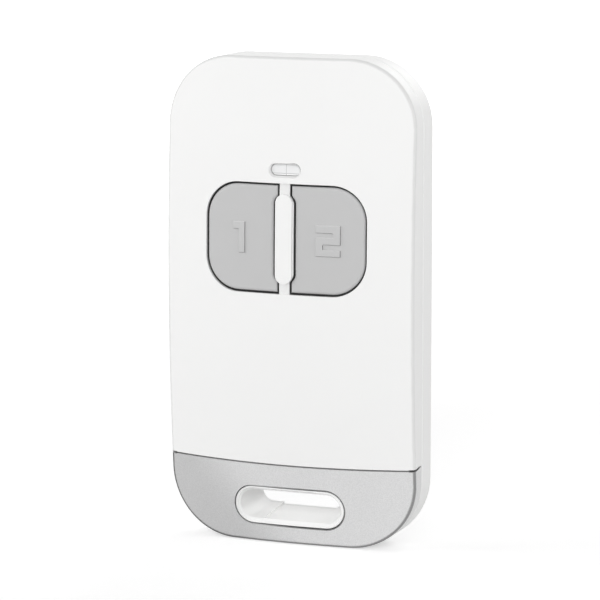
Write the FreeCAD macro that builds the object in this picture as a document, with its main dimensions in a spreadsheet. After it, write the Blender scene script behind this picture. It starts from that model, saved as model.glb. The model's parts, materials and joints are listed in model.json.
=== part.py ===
import FreeCAD, Part
import math
import os
import Sketcher

# Two-button gate remote, standing on its bottom end.
# X runs across, the face looks to -Y, Z runs up along the remote.
# The origin is the middle of the footprint, at the bottom.

doc = FreeCAD.newDocument("DoorRemote")

# Driving dimensions in millimetres and degrees
dimensions = [
    ("bodyWidth", 40.5, "width over the sides"),
    ("bodyLength", 75.6, "length from the bottom end to the top"),
    ("bodyThickness", 11.9, "depth over the crown of the face"),
    ("rearDepth", 5.4, "depth of the rear shell, from the back to the parting plane"),
    ("cornerRadius", 10.6, "corners of the outline"),
    ("crownAcross", 92.3, "radius of the domed face, across"),
    ("crownAlong", 347.7, "radius of the domed face, lengthwise"),
    ("crownHeight", 41.45, "height of the dome's highest point"),
    ("crownSweep", 24.0, "angle of the cut that forms the dome"),
    ("edgeRounding", 0.6, "rounding between the face and the sides"),
    ("rearRounding", 1.6, "rounding between the back and the sides"),
    ("partingBevel", 0.18, "bevel of each rim at the parting plane"),
    ("wall", 1.3, "wall of the shells"),
    ("tongueDepth", 0.8, "height of the rear shell's tongue"),
    ("tongueThickness", 0.55, "thickness of the rear shell's tongue"),
    ("fitGap", 0.08, "clearance between parts that fit together"),
    ("restGap", 0.03, "clearance between parts that rest on each other"),
    ("seamHeight", 12.59, "height of the seam above the end cap, in the middle"),
    ("seamTilt", 7.35, "rise of the seam towards the back"),
    ("seamGap", 0.26, "width of the seam"),
    ("windowOuter", 13.15, "half width over the two button windows"),
    ("windowInner", 0.83, "half width of the bridge between the windows"),
    ("windowLow", 39.5, "lower edge of the button windows"),
    ("windowHigh", 56.52, "upper edge of the button windows"),
    ("windowRadius", 5.5, "outer corners of the button windows"),
    ("buttonGap", 0.32, "gap round each button"),
    ("buttonRecess", 0.1, "depth of the button tops under the face"),
    ("buttonRounding", 0.45, "rounding of the button tops"),
    ("buttonTravel", 0.35, "stroke of a button"),
    ("flangeWidth", 0.6, "rim of a button under the cover"),
    ("flangeInner", 0.6, "rim of a button under the bridge"),
    ("flangeStand", 2.3, "space between the button rims and the board"),
    ("keyWall", 1.2, "wall of a button"),
    ("keyHollow", 1.6, "depth of the hollow behind a button"),
    ("stemDiameter", 3.4, "stem under a button"),
    ("notchOuter", 1.47, "half width of the bridge beside its ridge"),
    ("stepTurn", 45.0, "turn of the S-shaped steps beside the ridge"),
    ("ridgeWidth", 2.7, "width of the ridge on the bridge"),
    ("ridgeLength", 13.76, "length of the ridge on the bridge"),
    ("ridgeHeight", 0.2, "height of the ridge over the face"),
    ("bridgeRecess", 0.3, "depth of the bridge under the face"),
    ("lightLength", 4.86, "length of the light window"),
    ("lightWidth", 1.78, "width of the light window"),
    ("lightHeight", 58.55, "height of the light window's middle"),
    ("lightRecess", 0.7, "depth of the light guide's face under the cover's face"),
    ("lightBevel", 0.22, "width and depth of the bevel round the light window"),
    ("lightFlange", 0.42, "rim of the light guide"),
    ("lightFlangeThickness", 0.8, "thickness of the light guide's rim"),
    ("slotLength", 18.28, "length of the keyring slot in the end cap"),
    ("slotWidth", 6.2, "width of the keyring slot in the end cap"),
    ("slotHeight", 5.866, "height of the keyring slot's middle"),
    ("sleeveRecess", 0.2, "depth of the sleeve's rim under the cap's face"),
    ("sleeveGap", 0.16, "clearance round the sleeve in the end cap's slot"),
    ("sleeveLip", 0.62, "wall of the sleeve at its rim"),
    ("flareDepth", 0.9, "depth of the slanted lip inside the sleeve's rim"),
    ("flareWidth", 0.57, "width of the slanted lip"),
    ("sleeveMouth", 1.1, "depth of the straight part of the sleeve, behind the slot's deepest rim"),
    ("sleeveRamp", 0.8, "rise of the sleeve's floor to the back"),
    ("sleeveTaper", 0.18, "narrowing of each end of the sleeve to the back"),
    ("trackWidth", 9.2, "width of the shallow track in the sleeve's floor"),
    ("trackDepth", 0.3, "depth of the track in the sleeve's floor"),
    ("boardThickness", 1.0, "thickness of the circuit board"),
    ("boardInset", 1.75, "distance of the board from the outline"),
    ("boardLow", 15.7, "lower edge of the circuit board"),
    ("postX", 14.2, "distance of the board posts from the middle"),
    ("postLow", 21.0, "height of the lower board posts"),
    ("postTop", 12.6, "distance of the upper board posts from the top"),
    ("postDiameter", 3.2, "board posts"),
    ("pinDiameter", 1.4, "locating pins on the board posts"),
    ("pinHole", 1.7, "holes in the board for the pins"),
    ("pinReach", 0.45, "height of the pins over the board"),
    ("screwX", 14.3, "distance of the case screws from the middle"),
    ("screwHeight", 8.6, "height of the case screws"),
    ("screwDiameter", 1.8, "shank of the case screws"),
    ("screwHead", 3.2, "head of the case screws"),
    ("screwHeadHeight", 0.8, "height of the screw heads"),
    ("headGap", 0.2, "space between the screw heads and the end cap"),
    ("screwLength", 4.4, "length of the shank"),
    ("bossDiameter", 4.4, "screw bosses"),
    ("lugWidth", 4.6, "width of the front cover's screw lugs"),
    ("lugThickness", 1.1, "thickness of the screw lugs"),
    ("lugHigh", 15.0, "upper edge of the shelf that carries the lugs"),
    ("pegX", 10.2, "distance of the cap's pegs from the middle"),
    ("pegHeight", 11.2, "height of the cap's pegs"),
    ("pegDiameter", 1.6, "the cap's pegs"),
    ("pegLength", 2.6, "reach of the pegs behind the parting plane"),
    ("socketWall", 0.8, "wall of the sockets for the pegs"),
    ("cellDiameter", 20.0, "coin cell"),
    ("cellThickness", 3.2, "thickness of the coin cell"),
    ("cellRim", 0.5, "bevel at the coin cell's crimped rim"),
    ("cellHeight", 28.0, "height of the coin cell's middle"),
    ("cradleGap", 0.4, "space between the coin cell and its cradle"),
    ("cradleWall", 0.9, "wall of the coin cell's cradle"),
    ("cradleSlot", 8.0, "openings of the cradle for the clip"),
    ("cradleStand", 0.5, "space between the cradle and the board"),
    ("contactThickness", 0.15, "thickness of the negative contact"),
    ("contactDiameter", 11.0, "negative contact"),
    ("clipThickness", 0.25, "spring steel of the positive clip"),
    ("clipWidth", 5.0, "width of the positive clip"),
    ("clipFoot", 2.2, "length of the clip's soldered feet"),
    ("switchX", 6.95, "distance of the switches from the middle"),
    ("switchHeight", 48.0, "height of the switches"),
    ("switchSide", 5.2, "side of the switch housings"),
    ("switchThickness", 1.4, "height of the switch housings"),
    ("frameThickness", 0.15, "sheet of the switch frames"),
    ("plungerDiameter", 2.4, "switch plungers"),
    ("plungerReach", 0.5, "height of the plungers over the switch frames"),
    ("ledLength", 2.0, "indicator diode"),
    ("ledWidth", 1.25, "width of the indicator diode"),
    ("ledThickness", 0.8, "height of the indicator diode"),
    ("chipLength", 6.2, "controller package"),
    ("chipWidth", 3.9, "width of the controller package"),
    ("chipThickness", 1.3, "height of the controller package"),
    ("chipHeight", 28.0, "height of the controller's middle"),
    ("chipX", -4.5, "place of the controller across the board"),
    ("legPitch", 1.27, "pitch of the controller's legs"),
    ("legWidth", 0.4, "width of a leg"),
    ("legReach", 1.0, "reach of a leg from the package"),
    ("legThickness", 0.2, "thickness of a leg"),
    ("radioSide", 4.0, "side of the transmitter package"),
    ("radioThickness", 0.9, "height of the transmitter package"),
    ("radioX", 5.5, "place of the transmitter across the board"),
    ("radioHeight", 30.0, "height of the transmitter's middle"),
    ("crystalLength", 5.0, "crystal can"),
    ("crystalWidth", 3.2, "width of the crystal can"),
    ("crystalThickness", 1.1, "height of the crystal can"),
    ("crystalHeight", 23.0, "height of the crystal's middle"),
    ("antennaWire", 0.8, "antenna wire"),
    ("antennaSpan", 22.0, "span of the antenna over its feet"),
    ("antennaTop", 7.1, "distance of the antenna's straight run from the top"),
    ("antennaLegs", 5.0, "length of the antenna's legs"),
    ("antennaStand", 0.6, "space between the antenna and the board"),
    ("antennaBend", 1.8, "radius of the antenna's bends"),
    ("smallLength", 1.6, "small resistors and capacitors"),
    ("smallWidth", 0.8, "width of the small resistors and capacitors"),
    ("resistorThickness", 0.5, "height of a resistor"),
    ("capacitorThickness", 0.8, "height of a capacitor"),
    ("smallPitch", 2.6, "pitch of the rows of small parts"),
    ("rowLeft", -9.5, "first part of the rows left of the middle"),
    ("rowRight", 3.5, "first part of the row over the transmitter"),
    ("rowLow", 21.0, "height of the lower row of small parts"),
    ("rowMiddle", 34.4, "height of the middle rows"),
    ("rowTop", 12.85, "distance of the upper rows from the top"),
    ("rowTopLeft", -4.5, "first part of the upper left row"),
    ("rowTopRight", 2.5, "first part of the upper right row"),
    ("loneX", 10.1, "place of the capacitor beside the crystal"),
    ("cutMargin", 4.0, "how far the cuts run past the body"),
    ("trimSpare", 1.0, "how far a blank runs past the cut that trims it"),
]

sheet = doc.addObject("Spreadsheet::Sheet", "Sizes")
for row, (alias, value, note) in enumerate(dimensions, start=1):
    sheet.set("A%d" % row, note)
    sheet.set("B%d" % row, str(value))
    sheet.setAlias("B%d" % row, alias)
doc.recompute()


class Size:
    # A length or angle with the spreadsheet expression that it comes from
    def __init__(self, text, value):
        self.text = text
        self.value = value

    def joined(self, sign, other, value):
        return Size("(%s %s %s)" % (self.text, sign, other.text), value)

    def __add__(self, other):
        other = sized(other)
        return self.joined("+", other, self.value + other.value)

    def __radd__(self, other):
        return sized(other) + self

    def __sub__(self, other):
        other = sized(other)
        return self.joined("-", other, self.value - other.value)

    def __rsub__(self, other):
        return sized(other) - self

    def __mul__(self, other):
        other = sized(other)
        return self.joined("*", other, self.value * other.value)

    def __rmul__(self, other):
        return sized(other) * self

    def __truediv__(self, other):
        other = sized(other)
        return self.joined("/", other, self.value / other.value)

    def __neg__(self):
        return Size("(0 - %s)" % self.text, -self.value)


def sized(number):
    if isinstance(number, Size):
        return number
    return Size(repr(float(number)), float(number))


def tangent(angle):
    return Size("tan(%s * 1 deg)" % angle.text, math.tan(math.radians(angle.value)))


class Cells:
    # The sheet's cells by name
    def __getattr__(self, alias):
        return Size("Sizes.%s" % alias, float(sheet.get(alias)))


s = Cells()


def bind(thing, **settings):
    for name, size in settings.items():
        thing.setExpression(name, sized(size).text)


# Places that several parts share
faceY = (s.ridgeHeight - s.bodyThickness) / 2
backY = (s.ridgeHeight + s.bodyThickness) / 2
partingY = backY - s.rearDepth
floorY = backY - s.wall
boardBackY = partingY
boardFrontY = boardBackY - s.boardThickness
middle = sized(0)
flush = sized(0)
nearZero = 0.001
upperPosts = s.bodyLength - s.postTop
antennaHigh = s.bodyLength - s.antennaTop
antennaFoot = antennaHigh - s.antennaLegs
upperRow = s.bodyLength - s.rowTop
legsPerSide = 4


def cosine(angle):
    return Size("cos(%s * 1 deg)" % angle.text, math.cos(math.radians(angle.value)))


def sine(angle):
    return Size("sin(%s * 1 deg)" % angle.text, math.sin(math.radians(angle.value)))


# Two equal arcs make each S-shaped step of the bridge
stepRadius = (s.notchOuter - s.windowInner) / (2 - 2 * cosine(s.stepTurn))
stepRise = 2 * stepRadius * sine(s.stepTurn)


def sag(x, z):
    # How far the domed face lies behind its highest point
    away = z - s.crownHeight
    return x * x / (2 * s.crownAcross) + away * away / (2 * s.crownAlong)


# The screw heads lie just under the end cap's wall, and the lugs and bosses follow from that
capInside = faceY + s.wall + sag(s.screwX + s.screwHead / 2, s.screwHeight - s.screwHead / 2)
screwSeat = capInside + s.headGap + s.screwHeadHeight
lugBack = screwSeat + s.lugThickness
bossTop = lugBack + s.fitGap


# The keyring sleeve and its bore
sleeveLength = s.slotLength - 2 * s.sleeveGap
sleeveWidth = s.slotWidth - 2 * s.sleeveGap
boreLength = sleeveLength - 2 * s.sleeveLip
boreLow = s.slotHeight - sleeveWidth / 2 + s.sleeveLip
boreHigh = s.slotHeight + sleeveWidth / 2 - s.sleeveLip
mouthEnd = faceY + s.sleeveRecess + sag(boreLength / 2, boreLow) + s.sleeveMouth


def newBody(label):
    body = doc.addObject("PartDesign::Body", label)
    body.Label = label
    return body


def sketchOn(body, name, plane, offset):
    # A sketch parallel to one of the body's planes; offset is along the plane's normal
    sketch = body.newObject("Sketcher::SketchObject", name)
    for feature in body.Origin.OriginFeatures:
        if feature.Role == plane:
            sketch.AttachmentSupport = (feature, "")
    sketch.MapMode = "FlatFace"
    sketch.setExpression("AttachmentOffset.Base.z", sized(offset).text)
    return sketch


def frontSketch(body, name, y):
    # Local axes are X and Z, and the normal looks to the front
    return sketchOn(body, name, "XZ_Plane", -sized(y))


def pullSketch(body, name, y, z):
    # A sketch whose normal is the way the end cap comes off, parallel to the seam.
    # It passes through the depth y at the height z, and its second axis leans with it.
    sketch = body.newObject("Sketcher::SketchObject", name)
    for feature in body.Origin.OriginFeatures:
        if feature.Role == "XZ_Plane":
            sketch.AttachmentSupport = (feature, "")
    sketch.MapMode = "FlatFace"
    sketch.AttachmentOffset = FreeCAD.Placement(
        FreeCAD.Vector(), FreeCAD.Rotation(FreeCAD.Vector(1, 0, 0), s.seamTilt.value))
    sketch.setExpression("AttachmentOffset.Rotation.Angle", s.seamTilt.text)
    sketch.setExpression("AttachmentOffset.Base.z", (-sized(y) - z * tangent(s.seamTilt)).text)
    return sketch


def vector(x, y):
    return FreeCAD.Vector(sized(x).value, sized(y).value, 0)


def fix(sketch, kind, geometry, point, size):
    # Sets the distance of a point from the sketch's origin
    index = sketch.addConstraint(Sketcher.Constraint(kind, -1, 1, geometry, point, sized(size).value))
    sketch.setExpression("Constraints[%d]" % index, sized(size).text)


def setRadius(sketch, geometry, size):
    index = sketch.addConstraint(Sketcher.Constraint("Radius", geometry, sized(size).value))
    sketch.setExpression("Constraints[%d]" % index, sized(size).text)


def arcShape(x, y, radius, start, end):
    circle = Part.Circle(vector(x, y), FreeCAD.Vector(0, 0, 1), sized(radius).value)
    return Part.ArcOfCircle(circle, math.radians(start), math.radians(end))


def addLoop(sketch, shapes):
    # Adds lines and arcs end to end: tangent where an arc meets a line, coincident elsewhere.
    # Each shape is (geometry, start point, end point), the points numbered 1 or 2.
    first = sketch.GeometryCount
    for shape, start, end in shapes:
        sketch.addGeometry(shape, False)
    count = len(shapes)
    for index in range(count):
        follower = (index + 1) % count
        here = shapes[index]
        there = shapes[follower]
        arcs = isinstance(here[0], Part.ArcOfCircle) + isinstance(there[0], Part.ArcOfCircle)
        kind = "Tangent" if arcs else "Coincident"
        sketch.addConstraint(
            Sketcher.Constraint(kind, first + index, here[2], first + follower, there[1]))
    return first


def line(x1, y1, x2, y2):
    return (Part.LineSegment(vector(x1, y1), vector(x2, y2)), 1, 2)


def roundedRectangle(sketch, left, right, low, high, radius):
    shapes = [
        line(left + radius, low, right - radius, low),
        (arcShape(right - radius, low + radius, radius, 270, 360), 1, 2),
        line(right, low + radius, right, high - radius),
        (arcShape(right - radius, high - radius, radius, 0, 90), 1, 2),
        line(right - radius, high, left + radius, high),
        (arcShape(left + radius, high - radius, radius, 90, 180), 1, 2),
        line(left, high - radius, left, low + radius),
        (arcShape(left + radius, low + radius, radius, 180, 270), 1, 2),
    ]
    first = addLoop(sketch, shapes)
    for index in (0, 4):
        sketch.addConstraint(Sketcher.Constraint("Horizontal", first + index))
    for index in (2, 6):
        sketch.addConstraint(Sketcher.Constraint("Vertical", first + index))
    for index in (3, 5, 7):
        sketch.addConstraint(Sketcher.Constraint("Equal", first + 1, first + index))
    setRadius(sketch, first + 1, radius)
    fix(sketch, "DistanceY", first, 1, low)
    fix(sketch, "DistanceX", first + 2, 1, right)
    fix(sketch, "DistanceY", first + 4, 1, high)
    fix(sketch, "DistanceX", first + 6, 1, left)


def slotShape(sketch, centreX, centreY, length, width):
    # Two half circles joined by straight sides, lying along the sketch's first axis
    radius = width / 2
    left = centreX - length / 2 + radius
    right = centreX + length / 2 - radius
    shapes = [
        line(left, centreY - radius, right, centreY - radius),
        (arcShape(right, centreY, radius, 270, 450), 1, 2),
        line(right, centreY + radius, left, centreY + radius),
        (arcShape(left, centreY, radius, 90, 270), 1, 2),
    ]
    first = addLoop(sketch, shapes)
    sketch.addConstraint(Sketcher.Constraint("Horizontal", first))
    sketch.addConstraint(Sketcher.Constraint("Equal", first + 1, first + 3))
    setRadius(sketch, first + 1, radius)
    fix(sketch, "DistanceX", first + 1, 3, right)
    fix(sketch, "DistanceY", first + 1, 3, centreY)
    fix(sketch, "DistanceX", first + 3, 3, left)


def uprightSlot(sketch, centreX, centreY, width, length):
    # The same shape, standing along the sketch's second axis
    radius = width / 2
    low = centreY - length / 2 + radius
    high = centreY + length / 2 - radius
    shapes = [
        line(centreX + radius, low, centreX + radius, high),
        (arcShape(centreX, high, radius, 0, 180), 1, 2),
        line(centreX - radius, high, centreX - radius, low),
        (arcShape(centreX, low, radius, 180, 360), 1, 2),
    ]
    first = addLoop(sketch, shapes)
    sketch.addConstraint(Sketcher.Constraint("Vertical", first))
    sketch.addConstraint(Sketcher.Constraint("Equal", first + 1, first + 3))
    setRadius(sketch, first + 1, radius)
    sketch.addConstraint(Sketcher.Constraint("PointOnObject", first + 1, 3, -2))
    fix(sketch, "DistanceY", first + 1, 3, high)
    fix(sketch, "DistanceY", first + 3, 3, low)


def circleShape(sketch, x, y, diameter):
    circle = Part.Circle(vector(x, y), FreeCAD.Vector(0, 0, 1), sized(diameter).value / 2)
    index = sketch.addGeometry(circle, False)
    setRadius(sketch, index, diameter / 2)
    fix(sketch, "DistanceX", index, 3, x)
    fix(sketch, "DistanceY", index, 3, y)


def polygonShape(sketch, corners):
    shapes = []
    for index, (x, y) in enumerate(corners):
        nextX, nextY = corners[(index + 1) % len(corners)]
        shapes.append(line(x, y, nextX, nextY))
    first = addLoop(sketch, shapes)
    for index, (x, y) in enumerate(corners):
        fix(sketch, "DistanceX", first + index, 1, x)
        fix(sketch, "DistanceY", first + index, 1, y)


def boxShape(sketch, left, right, low, high):
    polygonShape(sketch, [(left, low), (right, low), (right, high), (left, high)])


def stepArcs(end, side, gap):
    # The two arcs that lead from the bridge's narrow part to the side of its ridge. end is the
    # height where they start, side is 1 at the upper end and -1 at the lower, and gap is how far
    # the line runs outside the bridge. Each arc is (centre x, centre y, radius, start, end).
    turn = s.stepTurn.value
    outerX = s.windowInner + stepRadius
    innerX = s.notchOuter - stepRadius
    if side > 0:
        return [(outerX, end, stepRadius - gap, 180, 180 + turn),
                (innerX, end - stepRise, stepRadius + gap, 0, turn)]
    return [(outerX, end, stepRadius - gap, 180 - turn, 180),
            (innerX, end + stepRise, stepRadius + gap, 360 - turn, 360)]


def keyTopShape(sketch, gap):
    # The outline of the right-hand key's top, at a distance inside its window
    outer = s.windowOuter - gap
    inner = s.windowInner + gap
    notch = s.notchOuter + gap
    low = s.windowLow + gap
    high = s.windowHigh - gap
    radius = s.windowRadius - gap
    centre = (s.windowLow + s.windowHigh) / 2
    notchLow = centre - s.ridgeLength / 2
    notchHigh = centre + s.ridgeLength / 2
    upper = stepArcs(notchHigh, 1, gap)
    lower = stepArcs(notchLow, -1, gap)
    shapes = [
        line(inner, low, outer - radius, low),
        (arcShape(outer - radius, low + radius, radius, 270, 360), 1, 2),
        line(outer, low + radius, outer, high - radius),
        (arcShape(outer - radius, high - radius, radius, 0, 90), 1, 2),
        line(outer - radius, high, inner, high),
        line(inner, high, inner, notchHigh),
        (arcShape(*upper[0]), 1, 2),
        (arcShape(*upper[1]), 2, 1),
        line(notch, upper[1][1], notch, lower[1][1]),
        (arcShape(*lower[1]), 2, 1),
        (arcShape(*lower[0]), 1, 2),
        line(inner, notchLow, inner, low),
    ]
    first = addLoop(sketch, shapes)
    for index in (0, 4):
        sketch.addConstraint(Sketcher.Constraint("Horizontal", first + index))
    for index in (2, 5, 8, 11):
        sketch.addConstraint(Sketcher.Constraint("Vertical", first + index))
    sketch.addConstraint(Sketcher.Constraint("Equal", first + 1, first + 3))
    sketch.addConstraint(Sketcher.Constraint("Equal", first + 6, first + 10))
    sketch.addConstraint(Sketcher.Constraint("Equal", first + 7, first + 9))
    setRadius(sketch, first + 1, radius)
    setRadius(sketch, first + 6, upper[0][2])
    setRadius(sketch, first + 7, upper[1][2])
    fix(sketch, "DistanceX", first + 2, 1, outer)
    fix(sketch, "DistanceX", first + 5, 1, inner)
    fix(sketch, "DistanceX", first + 8, 1, notch)
    fix(sketch, "DistanceX", first + 11, 1, inner)
    fix(sketch, "DistanceY", first, 1, low)
    fix(sketch, "DistanceY", first + 4, 1, high)
    fix(sketch, "DistanceY", first + 6, 3, notchHigh)
    fix(sketch, "DistanceY", first + 10, 3, notchLow)


def keyShape(sketch, grow, innerGrow):
    # A simpler outline of the right-hand key, for its rim and its hollow. grow moves the outer
    # edges outwards, and innerGrow the inner edge, which slants back beside the ridge.
    outer = s.windowOuter + grow
    inner = s.windowInner - innerGrow
    notch = s.notchOuter - innerGrow
    low = s.windowLow - grow
    high = s.windowHigh + grow
    radius = s.windowRadius + grow
    centre = (s.windowLow + s.windowHigh) / 2
    notchLow = centre - s.ridgeLength / 2
    notchHigh = centre + s.ridgeLength / 2
    shapes = [
        line(inner, low, outer - radius, low),
        (arcShape(outer - radius, low + radius, radius, 270, 360), 1, 2),
        line(outer, low + radius, outer, high - radius),
        (arcShape(outer - radius, high - radius, radius, 0, 90), 1, 2),
        line(outer - radius, high, inner, high),
        line(inner, high, inner, notchHigh),
        line(inner, notchHigh, notch, notchHigh - stepRise),
        line(notch, notchHigh - stepRise, notch, notchLow + stepRise),
        line(notch, notchLow + stepRise, inner, notchLow),
        line(inner, notchLow, inner, low),
    ]
    first = addLoop(sketch, shapes)
    for index in (0, 4):
        sketch.addConstraint(Sketcher.Constraint("Horizontal", first + index))
    for index in (2, 5, 7, 9):
        sketch.addConstraint(Sketcher.Constraint("Vertical", first + index))
    sketch.addConstraint(Sketcher.Constraint("Equal", first + 1, first + 3))
    setRadius(sketch, first + 1, radius)
    fix(sketch, "DistanceX", first + 2, 1, outer)
    fix(sketch, "DistanceX", first + 5, 1, inner)
    fix(sketch, "DistanceX", first + 7, 1, notch)
    fix(sketch, "DistanceX", first + 9, 1, inner)
    fix(sketch, "DistanceY", first, 1, low)
    fix(sketch, "DistanceY", first + 4, 1, high)
    fix(sketch, "DistanceY", first + 5, 2, notchHigh)
    fix(sketch, "DistanceY", first + 7, 1, notchHigh - stepRise)
    fix(sketch, "DistanceY", first + 7, 2, notchLow + stepRise)
    fix(sketch, "DistanceY", first + 9, 1, notchLow)


def outline(sketch, inset):
    roundedRectangle(sketch, inset - s.bodyWidth / 2, s.bodyWidth / 2 - inset,
                     inset, s.bodyLength - inset, s.cornerRadius - inset)


def extrude(body, kind, name, sketch, length, reverse=False):
    feature = body.newObject("PartDesign::" + kind, name)
    feature.Profile = sketch
    feature.setExpression("Length", sized(length).text)
    feature.Reversed = reverse
    sketch.Visibility = False
    body.Tip = feature
    doc.recompute()
    return feature


def padForward(body, name, sketch, length):
    return extrude(body, "Pad", name, sketch, length)


def padBackward(body, name, sketch, length):
    return extrude(body, "Pad", name, sketch, length, True)


def pocketForward(body, name, sketch, length):
    return extrude(body, "Pocket", name, sketch, length, True)


def pocketBackward(body, name, sketch, length):
    return extrude(body, "Pocket", name, sketch, length)


def mirrorAcross(body, name, features):
    mirror = body.newObject("PartDesign::Mirrored", name)
    mirror.Originals = features
    for feature in body.Origin.OriginFeatures:
        if feature.Role == "YZ_Plane":
            mirror.MirrorPlane = (feature, [""])
    body.Tip = mirror
    doc.recompute()
    return mirror


def crownCut(body, name, offset):
    # Turns a profile about an axis far behind the remote, which leaves the domed face.
    # offset is how far the cut stays behind the face.
    side = s.bodyWidth / 2 + s.cutMargin
    front = faceY - s.cutMargin
    radius = s.crownAcross - offset
    centreY = faceY + s.crownAcross
    axisY = faceY + s.crownAlong
    half = math.degrees(math.asin(side.value / radius.value))
    arcEnd = Size("sqrt(%s)" % (radius * radius - side * side).text,
                  math.sqrt(radius.value ** 2 - side.value ** 2))
    sketch = sketchOn(body, name + "_profile", "XY_Plane", s.crownHeight)
    shapes = [
        (arcShape(0, centreY, radius, 270 - half, 270 + half), 1, 2),
        line(side, centreY - arcEnd, side, front),
        line(side, front, -side, front),
        line(-side, front, -side, centreY - arcEnd),
    ]
    for shape, start, end in shapes:
        sketch.addGeometry(shape, False)
    for index in range(4):
        sketch.addConstraint(Sketcher.Constraint("Coincident", index, 2, (index + 1) % 4, 1))
    sketch.addConstraint(Sketcher.Constraint("Vertical", 1))
    sketch.addConstraint(Sketcher.Constraint("Vertical", 3))
    sketch.addConstraint(Sketcher.Constraint("Horizontal", 2))
    sketch.addConstraint(Sketcher.Constraint("PointOnObject", 0, 3, -2))
    setRadius(sketch, 0, radius)
    fix(sketch, "DistanceY", 0, 3, centreY)
    fix(sketch, "DistanceX", 1, 2, side)
    fix(sketch, "DistanceY", 1, 2, front)
    fix(sketch, "DistanceX", 2, 2, -side)
    axis = sketch.addGeometry(line(-side, axisY, side, axisY)[0], True)
    sketch.addConstraint(Sketcher.Constraint("Horizontal", axis))
    fix(sketch, "DistanceY", axis, 1, axisY)
    fix(sketch, "DistanceX", axis, 1, -side)
    fix(sketch, "DistanceX", axis, 2, side)
    groove = body.newObject("PartDesign::Groove", name)
    groove.Profile = sketch
    groove.ReferenceAxis = (sketch, ["Axis0"])
    groove.Midplane = True
    bind(groove, Angle=s.crownSweep)
    sketch.Visibility = False
    body.Tip = groove
    doc.recompute()
    return groove


def edgesWhere(shape, test):
    return ["Edge%d" % (i + 1) for i, edge in enumerate(shape.Edges) if test(edge)]


def roundEdges(body, name, kind, test, size):
    base = body.Tip
    names = edgesWhere(base.Shape, test)
    feature = body.newObject("PartDesign::" + kind, name)
    feature.Base = (base, names)
    feature.setExpression("Radius" if kind == "Fillet" else "Size", sized(size).text)
    body.Tip = feature
    doc.recompute()
    return feature


def cutAway(body, name, tool):
    feature = body.newObject("PartDesign::Boolean", name)
    feature.setObjects([tool])
    feature.Type = "Cut"
    body.Tip = feature
    doc.recompute()
    return feature


def onDomeEdge(edge):
    # Edges where the dome meets the outer sides
    middleOf = (edge.FirstParameter + edge.LastParameter) / 2
    for parameter in (edge.FirstParameter, middleOf, edge.LastParameter):
        point = edge.valueAt(parameter)
        dome = faceY + sag(sized(point.x), sized(point.z))
        if abs(point.y - dome.value) > s.wall.value / 8:
            return False
    return True


def onPartingPlane(edge):
    return abs(edge.CenterOfMass.y - partingY.value) < nearZero


def domedShell(label):
    # The front half of the housing as one shell, open to the back
    hollow = newBody(label + "_hollow")
    sketch = frontSketch(hollow, label + "_hollow_outline", partingY)
    outline(sketch, s.wall)
    padForward(hollow, label + "_hollow_block", sketch, partingY - faceY)
    crownCut(hollow, label + "_hollow_crown", s.wall)
    body = newBody(label)
    sketch = frontSketch(body, label + "_outline", partingY)
    outline(sketch, flush)
    padForward(body, label + "_block", sketch, partingY - faceY)
    roundEdges(body, label + "_bevel", "Chamfer", onPartingPlane, s.partingBevel)
    crownCut(body, label + "_crown", flush)
    roundEdges(body, label + "_edge", "Fillet", onDomeEdge, s.edgeRounding)
    cutAway(body, label + "_shell", hollow)
    return body


def seamLine(y):
    # The seam over the end cap lies in a plane that is square to the domed face
    seamY = faceY + sag(middle, s.seamHeight)
    return s.seamHeight + (y - seamY) * tangent(s.seamTilt)


def cutAtSeam(body, name, far, shift):
    # Removes what lies between the seam, moved up by shift, and the height far
    sketch = sketchOn(body, name + "_profile", "YZ_Plane", middle)
    ahead = faceY - s.cutMargin
    behind = backY
    polygonShape(sketch, [
        (ahead, seamLine(ahead) + shift),
        (ahead, far),
        (behind, far),
        (behind, seamLine(behind) + shift),
    ])
    feature = body.newObject("PartDesign::Pocket", name)
    feature.Profile = sketch
    feature.Type = "ThroughAll"
    feature.Midplane = True
    sketch.Visibility = False
    body.Tip = feature
    doc.recompute()


def cutRebate(body, name):
    # The step inside the rim that takes the rear shell's tongue
    sketch = frontSketch(body, name + "_outline", partingY)
    outline(sketch, s.wall / 2)
    pocketForward(body, name, sketch, s.tongueDepth + s.fitGap)


def join(body, name, tool):
    feature = body.newObject("PartDesign::Boolean", name)
    feature.setObjects([tool])
    feature.Type = "Fuse"
    body.Tip = feature
    doc.recompute()


def bridgeShape(sketch, low, high, notchLow, notchHigh):
    # The right-hand half of the bar, which widens beside its ridge
    upper = stepArcs(notchHigh, 1, flush)
    lower = stepArcs(notchLow, -1, flush)
    inner = s.windowInner
    shapes = [
        line(middle, low, inner, low),
        line(inner, low, inner, notchLow),
        (arcShape(*lower[0]), 2, 1),
        (arcShape(*lower[1]), 1, 2),
        line(s.notchOuter, lower[1][1], s.notchOuter, upper[1][1]),
        (arcShape(*upper[1]), 1, 2),
        (arcShape(*upper[0]), 2, 1),
        line(inner, notchHigh, inner, high),
        line(inner, high, middle, high),
        line(middle, high, middle, low),
    ]
    first = addLoop(sketch, shapes)
    for index in (0, 8):
        sketch.addConstraint(Sketcher.Constraint("Horizontal", first + index))
    for index in (1, 4, 7, 9):
        sketch.addConstraint(Sketcher.Constraint("Vertical", first + index))
    for index in (3, 5, 6):
        sketch.addConstraint(Sketcher.Constraint("Equal", first + 2, first + index))
    setRadius(sketch, first + 2, stepRadius)
    sketch.addConstraint(Sketcher.Constraint("PointOnObject", first + 9, 1, -2))
    fix(sketch, "DistanceX", first + 1, 1, inner)
    fix(sketch, "DistanceX", first + 4, 1, s.notchOuter)
    fix(sketch, "DistanceX", first + 7, 1, inner)
    fix(sketch, "DistanceY", first, 1, low)
    fix(sketch, "DistanceY", first + 8, 1, high)
    fix(sketch, "DistanceY", first + 2, 3, notchLow)
    fix(sketch, "DistanceY", first + 6, 3, notchHigh)


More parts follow.
